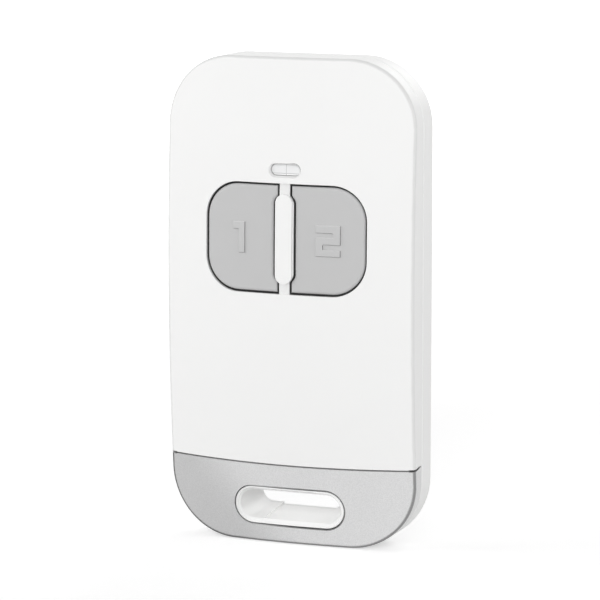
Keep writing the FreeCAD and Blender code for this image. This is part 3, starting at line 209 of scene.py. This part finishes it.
def paintedEdgeShade(look, paintedShading, x, y, z):
    # Painted shade along the rounding between the face and the sides, by the way the surface faces
    ahead = 0.0 - look.facing()[1]
    return look.fade(ahead, *edgeShadeFacing["setsIn"]) * look.fade(ahead, *edgeShadeFacing["ends"])


def paintedEndShade(look, paintedShading, x, y, z):
    # Painted shade towards the left-hand end, and the lower corner there
    along = x + (z - paintedShading["middle"]) * paintedShading["tilt"]
    return look.fade(along, paintedShading["start"], paintedShading["end"])


def paintedEndEdgeShade(look, paintedShading, x, y, z):
    # Darker painted shade on the rounded edge towards the left-hand end
    return paintedEdgeShade(look, paintedShading, x, y, z) * paintedEndShade(look, paintedShading, x, y, z)


def paintedRingShade(look, paintedShading, x, y, z):
    # A fine ring of painted shade round an opening with round ends, which fades out to its left
    past = look.sum("MAXIMUM", look.sum("ABSOLUTE", x) - paintedShading["straight"], 0.0)
    high = z - paintedShading["middle"]
    away = look.sum("SQRT", past * past + high * high) - paintedShading["radius"]
    side = look.fade(x, paintedShading["start"], paintedShading["end"])
    return (away < paintedShading["width"]) * (away > -paintedShading["width"]) * (y < 0.0) * side


def sleevePart(look, paintedShading, x, y, z):
    # The sleeve that lines the keyring slot, where the rear cover's colour is painted lighter as
    # painted light
    wide = look.sum("ABSOLUTE", x) < paintedShading["wide"]
    return wide * (look.sum("ABSOLUTE", z - paintedShading["middle"]) < paintedShading["half"]) * (y < paintedShading["behind"])


def paintedSleeveEndShade(look, paintedShading, x, y, z):
    # Painted shade on the left-hand end of the sleeve, behind its lip
    return sleevePart(look, paintedShading, x, y, z) * paintedEndShade(look, paintedShading, x, y, z) * (y > paintedShading["ahead"])


# Plastics

# Mixes each mark of painted shade into the plastic's colour; a shade above 1 is painted light
def withPaintedShading(look, tint, finish):
    x, y, z = look.mmPlaces()
    for paintedShading in finish["paintedShadings"]:
        there = paintedShading["where"](look, paintedShading, x, y, z)
        tint = look.mixed(there, tint, shaded(finish["colour"], paintedShading["shade"]))
    return tint


def flaked(look, tint, flakes):
    # A sprinkle of fine darker flakes
    spots = look.noise(flakes["scale"], detail=1.0)
    grey = look.node("MapRange", None, {"Value": spots, "From Min": flakes["low"],
                                        "From Max": flakes["high"], "To Min": flakes["shade"],
                                        "To Max": 1.0})
    return look.mixed(1.0, tint, grey, "MULTIPLY")


def mouldedPlastic(name, finish):
    look = Look(name)
    flow = look.noise(finish["flowScale"], detail=3.0)
    grain = look.noise(finish["grainScale"], roughness=0.6)
    tint = look.clouded(flow, finish["colour"], finish["darker"])
    if "paintedShadings" in finish:
        tint = withPaintedShading(look, tint, finish)
    if "flakes" in finish:
        tint = flaked(look, tint, finish["flakes"])
    normal = look.bump(grain, finish["grainDepth"], look.bump(flow, finish["flowDepth"]))
    return look.close({"Base Color": tint, "Roughness": look.uneven(finish, flow), "Normal": normal,
                       "Metallic": finish.get("metallic", 0.0), "IOR": finish["ior"],
                       "Specular IOR Level": finish.get("gloss", 0.5)})


# Painted shade in the seam gap between the cap and the front cover
seamShade = {"where": paintedSeamShade, "high": 12.59, "ahead": -4.65, "slope": 0.129, "half": 0.2,
        "beyond": 19.25, "behind": -0.5, "shade": 0.12}
sleeve = {"wide": 9.3, "middle": 5.87, "half": 3.2, "behind": 5.3}
whiteFinish = {"colour": colour(0.88, 0.88, 0.875), "darker": 0.985, "roughness": 0.42,
               "roughnessSpread": 0.06, "flowScale": 90.0, "flowDepth": 0.0015,
               "grainScale": 5200.0, "grainDepth": 0.0007, "ior": 1.49, "gloss": 0.2}
# The front cover, with painted shade on the recessed necks of the bridge, deep in the gaps round the
# keys, in the light window's recess, in a fine ring round the light window, along the rounded edges,
# and in the seam gap
frontFinish = dict(whiteFinish, paintedShadings=[
    {"where": paintedGapShade, "start": 0.18, "end": 0.28, "box": (-0.9, 0.9, 39.4, 56.6), "shade": 0.92},
    {"where": paintedGapShade, "start": 0.35, "end": 0.7, "box": (-13.5, 13.5, 39.0, 57.0), "shade": 0.16},
    {"where": paintedGapShade, "start": 0.3, "end": 0.6, "box": (-3.0, 3.0, 57.2, 60.2), "shade": 0.85},
    {"where": paintedRingShade, "middle": 58.55, "straight": 1.54, "radius": 1.0, "width": 0.1,
     "start": 0.2, "end": 1.8, "shade": 0.05},
    {"where": paintedEdgeShade, "shade": 0.84},
    seamShade])
# The rear cover: painted light over the keyring slot's sleeve, and painted shade on the sleeve's
# left-hand end behind its lip
rearFinish = dict(whiteFinish, paintedShadings=[
    dict(sleeve, where=sleevePart, shade=1.1),
    dict(sleeve, where=paintedSleeveEndShade, ahead=-4.3, tilt=-0.6, start=-4.5, end=-8.5, shade=0.95)])
# The grey cap, with fine flakes in its paint, and painted shade towards its left-hand end, along its
# rounded edges and darker still on the left-hand ones, in a fine ring round the keyring slot, and in
# the seam gap
capFinish = {"colour": colour(0.71, 0.71, 0.712), "darker": 0.95, "roughness": 0.38,
             "roughnessSpread": 0.05, "flowScale": 110.0, "flowDepth": 0.0015,
             "grainScale": 5200.0, "grainDepth": 0.0008, "ior": 1.52, "gloss": 0.3,
             "metallic": 0.35,
             "flakes": {"scale": 6500.0, "low": 0.38, "high": 0.62, "shade": 0.9},
             "paintedShadings": [
                 {"where": paintedEndShade, "middle": 8.0, "tilt": 0.8, "start": -2.0, "end": -15.0,
                  "shade": 0.77},
                 {"where": paintedEdgeShade, "shade": 0.38},
                 {"where": paintedEndEdgeShade, "middle": 8.0, "tilt": 0.5, "start": -6.0, "end": -18.0,
                  "shade": 0.1},
                 {"where": paintedRingShade, "middle": 5.866, "straight": 6.04, "radius": 3.17,
                  "width": 0.08, "start": -9.0, "end": 3.0, "shade": 0.3},
                 dict(seamShade, shade=0.45)]}
# The keys, with painted shade on their walls deep in the gaps round them
keyFinish = {"colour": colour(0.525, 0.525, 0.526), "darker": 0.98, "roughness": 0.52,
             "roughnessSpread": 0.04, "flowScale": 150.0, "flowDepth": 0.001,
             "grainScale": 6500.0, "grainDepth": 0.0012, "ior": 1.47,
             "paintedShadings": [{"where": paintedGapShade, "start": 0.32, "end": 0.62,
                        "box": (-14.0, 14.0, 38.0, 58.0), "shade": 0.15}]}
switchFinish = {"colour": colour(0.035), "darker": 0.8, "roughness": 0.45,
                "roughnessSpread": 0.1, "flowScale": 600.0, "flowDepth": 0.001,
                "grainScale": 9000.0, "grainDepth": 0.002, "ior": 1.5}
plungerFinish = dict(switchFinish, colour=colour(0.16, 0.09, 0.05), darker=0.85, roughness=0.38,
                     flowScale=700.0, grainDepth=0.0015)
chipFinish = dict(switchFinish, colour=colour(0.022, 0.022, 0.024), darker=0.7, roughness=0.55,
                  roughnessSpread=0.12, flowScale=900.0, grainScale=12000.0, grainDepth=0.004)


# Metals

def platedMetal(name, finish):
    # Sheet or wire with fine lines along one axis, or an even grain where nothing is stretched
    look = Look(name)
    stretched = look.node("Mapping", None, {"Vector": look.place, "Scale": finish["stretch"]})
    lines = look.noise(finish["lineScale"], detail=3.0, roughness=0.6, place=stretched)
    tint = look.clouded(look.noise(finish["cloudScale"]), finish["colour"], finish["darker"])
    return look.close({"Base Color": tint, "Metallic": 1.0, "Roughness": look.uneven(finish, lines),
                       "Normal": look.bump(lines, finish["lineDepth"])})


steelFinish = {"colour": colour(0.62, 0.61, 0.585), "darker": 0.85, "roughness": 0.3,
               "roughnessSpread": 0.15, "stretch": (1.0, 1.0, 0.08), "lineScale": 14000.0,
               "lineDepth": 0.002, "cloudScale": 400.0}
springFinish = dict(steelFinish, colour=colour(0.6, 0.575, 0.5), stretch=(0.06, 1.0, 1.0))
canFinish = dict(steelFinish, colour=colour(0.66, 0.66, 0.65), roughness=0.24)
zincFinish = dict(steelFinish, colour=colour(0.46, 0.465, 0.475), roughness=0.36,
                  stretch=(1.0, 1.0, 1.0), lineScale=5000.0)
copperFinish = dict(steelFinish, colour=colour(0.72, 0.34, 0.18), darker=0.7, roughness=0.34,
                    stretch=(0.05, 1.0, 1.0))


def turnedMetal(name, finish):
    # The coin cell's can, with fine rings round its middle
    look = Look(name)
    moved = look.node("Mapping", None, {"Vector": look.place, "Location": finish["shift"]})
    across, ahead, rise = look.axes(moved)
    radius = look.sum("SQRT", across * across + rise * rise)
    rings = look.node("TexNoise", {"noise_dimensions": "1D"},
                      {"W": radius, "Scale": finish["ringScale"], "Detail": 2.0})
    tint = look.clouded(look.noise(finish["cloudScale"]), finish["colour"], finish["darker"])
    return look.close({"Base Color": tint, "Metallic": 1.0, "Roughness": look.uneven(finish, rings),
                       "Normal": look.bump(rings, finish["ringDepth"])})


cellFinish = {"colour": colour(0.7, 0.695, 0.68), "darker": 0.88, "roughness": 0.26,
              "roughnessSpread": 0.12, "ringScale": 9000.0, "ringDepth": 0.0012,
              "cloudScale": 260.0, "shift": (0.0, 0.0, -28.0 * mm)}


# Board, resins and ceramics

def boardLaminate(name, finish):
    # Green solder mask over copper tracks, which stand out a little
    look = Look(name)
    tracks = look.node("TexVoronoi", {"feature": "DISTANCE_TO_EDGE", "distance": "EUCLIDEAN"},
                       {"Vector": look.place, "Scale": finish["trackScale"],
                        "Randomness": finish["trackTurns"]}, "Distance")
    copper = look.fade(tracks, finish["trackWidth"], 0.0)
    mask = look.clouded(look.noise(finish["cloudScale"]), finish["colour"], finish["darker"])
    tint = look.mixed(copper, mask, finish["trackColour"])
    return look.close({"Base Color": tint, "Roughness": finish["roughness"],
                       "Coat Weight": finish["coat"], "Coat Roughness": finish["coatRoughness"],
                       "Normal": look.bump(copper, finish["trackDepth"])})


boardFinish = {"colour": colour(0.012, 0.105, 0.04), "darker": 0.8, "cloudScale": 500.0,
               "roughness": 0.42, "coat": 0.4, "coatRoughness": 0.15,
               "trackColour": colour(0.03, 0.19, 0.075), "trackScale": 380.0,
               "trackTurns": 0.35, "trackWidth": 0.09, "trackDepth": 0.03}


def bakedCeramic(name, finish):
    look = Look(name)
    specks = look.noise(finish["speckScale"], detail=4.0, roughness=0.7)
    tint = look.clouded(specks, finish["colour"], finish["darker"])
    return look.close({"Base Color": tint, "Roughness": finish["roughness"],
                       "Normal": look.bump(specks, finish["speckDepth"]), "IOR": finish["ior"]})


resistorFinish = {"colour": colour(0.045), "darker": 0.75, "roughness": 0.3, "ior": 1.6,
                  "speckScale": 5000.0, "speckDepth": 0.002}
capacitorFinish = dict(resistorFinish, colour=colour(0.42, 0.27, 0.14), roughness=0.55,
                       speckScale=6000.0, speckDepth=0.004)


def milkyGuide(name, finish):
    # The moulded light guide: hazy, with a fine dark line where its halves meet, a painted shade line
    # along the step at its lower edge, painted light under the step, painted shade on its rim and
    # painted shade at its left end
    look = Look(name)
    x, y, z = look.mmPlaces()
    joint = look.sum("ABSOLUTE", x - finish["lineX"]) < finish["lineWidth"] / 2
    step = look.sum("ABSOLUTE", z - finish["stepZ"]) < finish["stepWidth"] / 2
    line = look.sum("MAXIMUM", joint, step)
    end = look.fade(x, finish["endX"] + finish["endFade"], finish["endX"])
    rim = look.fade(0.0 - look.facing()[1], *finish["rimFacing"])
    haze = look.noise(finish["hazeScale"])
    body = look.clouded(haze, finish["colour"], finish["darker"])
    # Painted shade at the left end, painted light under the step, and painted shade on the rim
    body = look.mixed(end, body, shaded(finish["colour"], finish["endShade"]))
    body = look.mixed(z < finish["stepZ"], body, finish["paintedLightUnderStep"])
    body = look.mixed(rim, body, shaded(finish["colour"], finish["rimShade"]))
    tint = look.mixed(line, body, shaded(finish["colour"], finish["lineShade"]))
    rough = finish["roughness"] + haze * finish["roughnessSpread"]
    height = haze * finish["hazeHeight"] - line
    return look.close({"Base Color": tint, "Roughness": rough,
                       "Transmission Weight": finish["clear"], "IOR": finish["ior"],
                       "Normal": look.bump(height, finish["lineDepth"])})


guideFinish = {"colour": colour(0.86, 0.865, 0.87), "darker": 0.96, "roughness": 0.16,
               "roughnessSpread": 0.06, "clear": 0.0, "ior": 1.49,
               "hazeScale": 900.0, "hazeHeight": 0.2,
               "lineX": 0.05, "lineWidth": 0.1, "lineDepth": 0.006, "lineShade": 0.66,
               "stepZ": 57.98, "stepWidth": 0.13, "paintedLightUnderStep": colour(0.97),
               "endX": -2.3, "endFade": 0.7, "endShade": 0.9,
               "rimFacing": (0.85, 0.5), "rimShade": 0.5}


def diodeResin(name, finish):
    look = Look(name)
    haze = look.noise(finish["hazeScale"])
    tint = look.clouded(haze, finish["colour"], finish["darker"])
    rough = finish["roughness"] + haze * finish["roughnessSpread"]
    return look.close({"Base Color": tint, "Roughness": rough,
                       "Transmission Weight": finish["clear"], "IOR": finish["ior"]})


diodeFinish = {"colour": colour(0.82, 0.78, 0.5), "darker": 0.85, "roughness": 0.2,
               "roughnessSpread": 0.1, "clear": 0.4, "ior": 1.53, "hazeScale": 1500.0}

looks = {
    "white_case": mouldedPlastic("white_case_gloss", whiteFinish),
    "grey_cap": mouldedPlastic("grey_cap_gloss", capFinish),
    "grey_key": mouldedPlastic("grey_key_satin", keyFinish),
    "clear_guide": milkyGuide("clear_guide", guideFinish),
    "board_laminate": boardLaminate("board_laminate", boardFinish),
    "switch_plastic": mouldedPlastic("switch_black", switchFinish),
    "switch_steel": platedMetal("switch_frame_plating", steelFinish),
    "plunger_plastic": mouldedPlastic("plunger_brown", plungerFinish),
    "diode_resin": diodeResin("diode_resin", diodeFinish),
    "chip_resin": mouldedPlastic("chip_black_resin", chipFinish),
    "can_steel": platedMetal("crystal_can_plating", canFinish),
    "copper_wire": platedMetal("antenna_copper", copperFinish),
    "resistor_ceramic": bakedCeramic("resistor_glaze", resistorFinish),
    "capacitor_ceramic": bakedCeramic("capacitor_tan", capacitorFinish),
    "cell_steel": turnedMetal("cell_plating", cellFinish),
    "spring_steel": platedMetal("clip_spring_steel", springFinish),
    "screw_steel": platedMetal("screw_zinc", zincFinish),
}
ownLooks = {"front_cover": mouldedPlastic("front_cover_gloss", frontFinish),
            "rear_cover": mouldedPlastic("rear_cover_gloss", rearFinish)}
slotOf = {part["node"]: part["material_slot"] for part in frame["record"]["subparts"]}
for name, thing in nodes.items():
    thing.data.materials.clear()
    thing.data.materials.append(ownLooks.get(name) or looks[slotOf[name]])
print("materials given to", len(nodes), "nodes")


def evenShading(thing, angle=30.0, weight=60):
    # Corners keep a crisp edge, and the normals of each smooth stretch follow its large faces
    split = thing.modifiers.new("crisp_edges", "EDGE_SPLIT")
    split.split_angle = math.radians(angle)
    weighted = thing.modifiers.new("even_normals", "WEIGHTED_NORMAL")
    weighted.weight = weight


for name in ("front_cover", "rear_cover", "end_cap", "button_1", "button_2", "light_guide"):
    evenShading(nodes[name])
print("shading evened")


def meshObject(name, shape):
    # The shape, drawn in millimetres, as an object of the scene
    bmesh.ops.scale(shape, vec=(mm, mm, mm), verts=shape.verts)
    bmesh.ops.recalc_face_normals(shape, faces=shape.faces)
    mesh = bpy.data.meshes.new(name)
    shape.to_mesh(mesh)
    shape.free()
    made = bpy.data.objects.new(name, mesh)
    bpy.context.scene.collection.objects.link(made)
    return made


def finishMesh(mesh, material, sharpAngle):
    for face in mesh.polygons:
        face.use_smooth = True
    mesh.set_sharp_from_angle(angle=math.radians(sharpAngle))
    mesh.materials.clear()
    mesh.materials.append(material)


# Raised numerals on the keys

def roundedOutline(corners, steps=5):
    # Corners are (x, z, radius); a radius above zero becomes an arc
    points = []
    count = len(corners)
    for index, (x, z, radius) in enumerate(corners):
        here = Vector((x, z))
        if radius == 0:
            points.append(here)
            continue
        before = (Vector(corners[index - 1][:2]) - here).normalized()
        after = (Vector(corners[(index + 1) % count][:2]) - here).normalized()
        centre = here + (before + after) * radius
        for step in range(steps + 1):
            turn = step / steps * math.pi / 2
            points.append(centre - after * radius * math.cos(turn) - before * radius * math.sin(turn))
    return points


def numeralLook(name, finish, edges):
    # The key's plastic, with a painted highlight on the upper edges and painted shade along the lower
    # and right-hand ones, by the way each surface faces
    look = Look(name)
    grain = look.noise(finish["grainScale"], roughness=0.6)
    x, y, z = look.facing()
    paintedShadeSides = look.sum("MAXIMUM", x > edges["tilt"], z < -edges["tilt"])
    tint = look.mixed(paintedShadeSides, finish["colour"], shaded(finish["colour"], edges["paintedShading"]))
    tint = look.mixed(z > edges["tilt"], tint, shaded(finish["colour"], edges["paintedHighlight"]))
    return look.close({"Base Color": tint, "Roughness": finish["roughness"], "IOR": finish["ior"],
                       "Normal": look.bump(grain, finish["grainDepth"])})


# Painted shade on the numerals' lower and right-hand edges, and a painted highlight on their upper
# edges
numeralEdges = {"tilt": 0.3, "paintedShading": 0.42, "paintedHighlight": 1.3}
numeralFinish = numeralLook("numeral_satin", keyFinish, numeralEdges)


def raisedShape(name, corners, sizes, body):
    # A flat shape with softened edges, bent onto the domed top of a key
    shape = bmesh.new()
    low = [shape.verts.new((point.x, -sizes["sunk"], point.y)) for point in roundedOutline(corners)]
    base = shape.faces.new(low)
    grown = bmesh.ops.extrude_face_region(shape, geom=[base])["geom"]
    top = [part for part in grown if isinstance(part, bmesh.types.BMVert)]
    bmesh.ops.translate(shape, verts=top, vec=(0, sizes["sunk"] + sizes["rise"], 0))
    rim = [edge for edge in shape.edges if all(end in top for end in edge.verts)]
    bmesh.ops.bevel(shape, geom=rim, offset=sizes["softness"], segments=sizes["bevelSteps"],
                    profile=sizes["bevelProfile"], affect="EDGES", clamp_overlap=True)
    bmesh.ops.triangulate(shape, faces=[face for face in shape.faces if len(face.verts) > 4])
    for vert in shape.verts:
        x, height, z = vert.co
        vert.co = (x, domeAt(x, z, dome["keyDepth"] - height), z)
    piece = meshObject(name, shape)
    finishMesh(piece.data, numeralFinish, sizes["sharpAngle"])
    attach(piece, body)


numeralSizes = {"rise": 0.18, "sunk": 0.15, "softness": 0.1, "bevelSteps": 3, "bevelProfile": 0.6,
                "inner": 0.16, "sharpAngle": 50.0}
oneSizes = {"left": -8.4, "stemLeft": -7.47, "right": -6.47, "top": 50.41, "flagLow": 49.25,
            "low": 45.62}
twoSizes = {"left": 5.14, "stemLeft": 7.89, "right": 9.07, "top": 50.43, "barLow": 49.25,
            "middleHigh": 48.6, "middleLow": 47.48, "footStem": 6.31, "footHigh": 46.68,
            "low": 45.66}


def oneCorners(one, inner):
    return [(one["left"], one["flagLow"], 0), (one["stemLeft"], one["flagLow"], inner),
            (one["stemLeft"], one["low"], 0), (one["right"], one["low"], 0),
            (one["right"], one["top"], 0), (one["left"], one["top"], 0)]


def twoCorners(two, inner):
    return [(two["left"], two["low"], 0), (two["right"], two["low"], 0),
            (two["right"], two["footHigh"], 0), (two["footStem"], two["footHigh"], 0),
            (two["footStem"], two["middleLow"], inner), (two["right"], two["middleLow"], 0),
            (two["right"], two["top"], 0), (two["left"], two["top"], 0),
            (two["left"], two["barLow"], 0), (two["stemLeft"], two["barLow"], inner),
            (two["stemLeft"], two["middleHigh"], 0), (two["left"], two["middleHigh"], 0)]


raisedShape("numeral_one", oneCorners(oneSizes, numeralSizes["inner"]), numeralSizes, "key_1")
raisedShape("numeral_two", twoCorners(twoSizes, numeralSizes["inner"]), numeralSizes, "key_2")
print("numerals made")


# Case screws with pan heads, cross recesses and threads, in the place of the plain ones

screwSizes = {"apart": 14.3, "high": 8.6, "front": -1.27, "headBack": -0.474, "tip": 3.92,
              "head": 1.6, "headEdge": 0.04, "shank": 0.87, "core": 0.66, "pitch": 0.62,
              "ridgeSlope": 2.4, "threadStart": 0.02, "stepsPerTurn": 5, "sides": 24,
              "pointLength": 0.6, "pointShare": 0.25, "sharpAngle": 38.0}
# How the pan head rounds off: depths behind its front, and shares of its radius
headRounding = [(0.01, 0.4), (0.05, 0.65), (0.14, 0.84), (0.28, 0.95), (0.46, 1.0)]
recessSizes = {"width": 0.22, "reach": 0.98, "depth": 0.48, "narrowing": 0.5, "over": 0.3,
               "turns": (20.0, 62.0)}


def threadRadius(sizes, y, share):
    # Radius of the shank at a depth and a share of a full turn, with a point at its end
    past = (y - sizes["headBack"]) / sizes["pitch"] - share
    ridge = max(0.0, 1.0 - sizes["ridgeSlope"] * abs(past - math.floor(past) - 0.5))
    radius = sizes["core"] + (sizes["shank"] - sizes["core"]) * ridge
    left = (sizes["tip"] - y) / sizes["pointLength"]
    return radius * min(1.0, sizes["pointShare"] + (1.0 - sizes["pointShare"]) * left)


def screwRings(sizes):
    # Each ring is a depth and a radius; a radius of None follows the thread
    back, head, edge = sizes["headBack"], sizes["head"], sizes["headEdge"]
    rings = [(sizes["front"] + depth, head * share) for depth, share in headRounding]
    rings.extend([(back - edge, head), (back, head - edge)])
    step = sizes["pitch"] / sizes["stepsPerTurn"]
    count = int((sizes["tip"] - back) / step)
    rings.extend((back + (index + sizes["threadStart"]) * step, None) for index in range(count))
    rings.append((sizes["tip"], None))
    return rings


def addScrew(shape, sizes, x):
    rows = []
    for y, radius in screwRings(sizes):
        row = []
        for side in range(sizes["sides"]):
            share = side / sizes["sides"]
            reach = threadRadius(sizes, y, share) if radius is None else radius
            turn = share * math.tau
            row.append(shape.verts.new((x + reach * math.cos(turn), y,
                                        sizes["high"] + reach * math.sin(turn))))
        rows.append(row)
    for row, following in zip(rows, rows[1:]):
        for side in range(sizes["sides"]):
            beside = (side + 1) % sizes["sides"]
            shape.faces.new((row[side], row[beside], following[beside], following[side]))
    for row, y in ((rows[0], sizes["front"]), (rows[-1], sizes["tip"])):
        middle = shape.verts.new((x, y, sizes["high"]))
        for side in range(sizes["sides"]):
            shape.faces.new((middle, row[side], row[(side + 1) % sizes["sides"]]))


def addRecess(shape, sizes, recess, x, turn):
    # A cross that narrows towards its bottom
    width, reach = recess["width"], recess["reach"]
    quarter = [(width, width), (width, reach), (-width, reach)]
    loops = []
    for y, share in ((sizes["front"] - recess["over"], 1.0),
                     (sizes["front"] + recess["depth"], recess["narrowing"])):
        loop = []
        for corner in range(4):
            for across, along in quarter:
                angle = turn + corner * math.pi / 2
                flatX = (across * math.cos(angle) - along * math.sin(angle)) * share
                flatZ = (across * math.sin(angle) + along * math.cos(angle)) * share
                loop.append(shape.verts.new((x + flatX, y, sizes["high"] + flatZ)))
        loops.append(loop)
    count = len(loops[0])
    for index in range(count):
        beside = (index + 1) % count
        shape.faces.new((loops[0][index], loops[0][beside], loops[1][beside], loops[1][index]))
    for loop in loops:
        shape.faces.new(loop)


def makeScrews(sizes, recess):
    plain, cross = bmesh.new(), bmesh.new()
    for side, turn in zip((-1, 1), recess["turns"]):
        addScrew(plain, sizes, side * sizes["apart"])
        addRecess(cross, sizes, recess, side * sizes["apart"], math.radians(turn))
    screws = meshObject("cross_screws", plain)
    cutter = meshObject("cross_cutter", cross)
    cut = screws.modifiers.new("recess", "BOOLEAN")
    cut.object = cutter
    cut.solver = "EXACT"
    graph = bpy.context.evaluated_depsgraph_get()
    whole = bpy.data.meshes.new_from_object(screws.evaluated_get(graph))
    screws.modifiers.clear()
    screws.data = whole
    bpy.data.objects.remove(cutter)
    finishMesh(whole, looks["screw_steel"], sizes["sharpAngle"])
    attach(screws, "housing")
    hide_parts("case_screws")


makeScrews(screwSizes, recessSizes)
print("case screws made")


# Floor, light and camera

floorSizes = {"half": 3.0, "drop": 0.00002, "colour": colour(0.75), "nearGlow": colour(0.4),
              "farGlow": colour(1.0), "nearBy": 0.12, "farOff": 0.8}


def seenRays(graph):
    # 1 for what the camera sees straight on, in a reflection or through clear plastic
    rays = graph.node("LightPath", output="Is Camera Ray")
    return graph.sum("MAXIMUM", graph.sum("MAXIMUM", rays, rays.out("Is Glossy Ray")),
                     rays.out("Is Transmission Ray"))


def makeFloor(sizes):
    # Plain paper, which also glows a little towards the camera, and more so far off
    mesh = bpy.data.meshes.new("floor")
    half, low = sizes["half"], -sizes["drop"]
    mesh.from_pydata([(-half, -half, low), (half, -half, low), (half, half, low),
                      (-half, half, low)], [], [(0, 1, 2, 3)])
    look = Look("floor_paper")
    away = look.node("VectorMath", {"operation": "LENGTH"}, {0: look.place}, "Value")
    far = look.fade(away, sizes["nearBy"], sizes["farOff"])
    white = look.mixed(far, sizes["nearGlow"], sizes["farGlow"])
    paper = look.node("BsdfDiffuse", None, {"Color": sizes["colour"]})
    glow = look.node("Emission", None, {"Color": look.mixed(seenRays(look), colour(0.0), white),
                                        "Strength": 1.0})
    both = look.node("AddShader", None, {0: paper, 1: glow})
    look.node("OutputMaterial", None, {"Surface": both})
    mesh.materials.append(look.material)
    floor = bpy.data.objects.new("floor", mesh)
    bpy.context.scene.collection.objects.link(floor)


def makeWorld(sizes):
    # White where it is seen, and softer where it only lights the scene
    world = bpy.data.worlds.new("studio")
    world.use_nodes = True
    bpy.context.scene.world = world
    graph = Graph(world.node_tree)
    shown = graph.node("Background", None, {"Color": sizes["seenColour"], "Strength": 1.0})
    light = graph.node("Background", None, {"Color": sizes["worldColour"],
                                            "Strength": sizes["worldStrength"]})
    both = graph.node("MixShader", None, {0: seenRays(graph), 1: light, 2: shown})
    graph.node("OutputWorld", None, {"Surface": both})


def softLight(name, lamp, sizes):
    light = bpy.data.lights.new(name, "AREA")
    light.shape = "SQUARE"
    light.size = sizes["lampSize"]
    light.energy = lamp["power"]
    thing = bpy.data.objects.new(name, light)
    thing.location = lamp["place"]
    aim = Vector(sizes["aim"]) - Vector(lamp["place"])
    thing.rotation_euler = aim.to_track_quat("-Z", "Y").to_euler()
    bpy.context.scene.collection.objects.link(thing)


studio = {"seenColour": colour(1.0), "worldColour": colour(1.0), "worldStrength": 0.4,
          "lampSize": 0.9, "aim": (0.0, 0.0, 0.038)}
lamps = {
    "front_light": {"place": (0.3, -1.3, 0.55), "power": 9.1},
    "left_light": {"place": (-1.25, -0.35, 0.55), "power": 7.3},
    "right_light": {"place": (1.3, -0.35, 0.15), "power": 5.1},
    "back_light": {"place": (0.25, 1.3, 0.7), "power": 6.9},
    "rear_left_light": {"place": (-0.55, 1.2, 0.7), "power": 1.1},
}

makeFloor(floorSizes)
makeWorld(studio)
for name, lamp in lamps.items():
    softLight(name, lamp, studio)
print("floor and lights made")

cameraSizes = {"place": (0.17744, -0.45171, 0.11709), "azimuth": 21.4, "elevation": 9.278,
               "lens": 191.34, "sensor": 36.0, "clipStart": 0.01, "clipEnd": 20.0}


def makeCamera(sizes):
    data = bpy.data.cameras.new("camera")
    data.sensor_width = sizes["sensor"]
    data.lens = sizes["lens"]
    data.clip_start = sizes["clipStart"]
    data.clip_end = sizes["clipEnd"]
    thing = bpy.data.objects.new("camera", data)
    thing.location = sizes["place"]
    thing.rotation_euler = (math.radians(90 - sizes["elevation"]), 0, math.radians(sizes["azimuth"]))
    bpy.context.scene.collection.objects.link(thing)
    bpy.context.scene.camera = thing


makeCamera(cameraSizes)
bpy.context.scene.view_settings.view_transform = "Standard"
print("camera set")
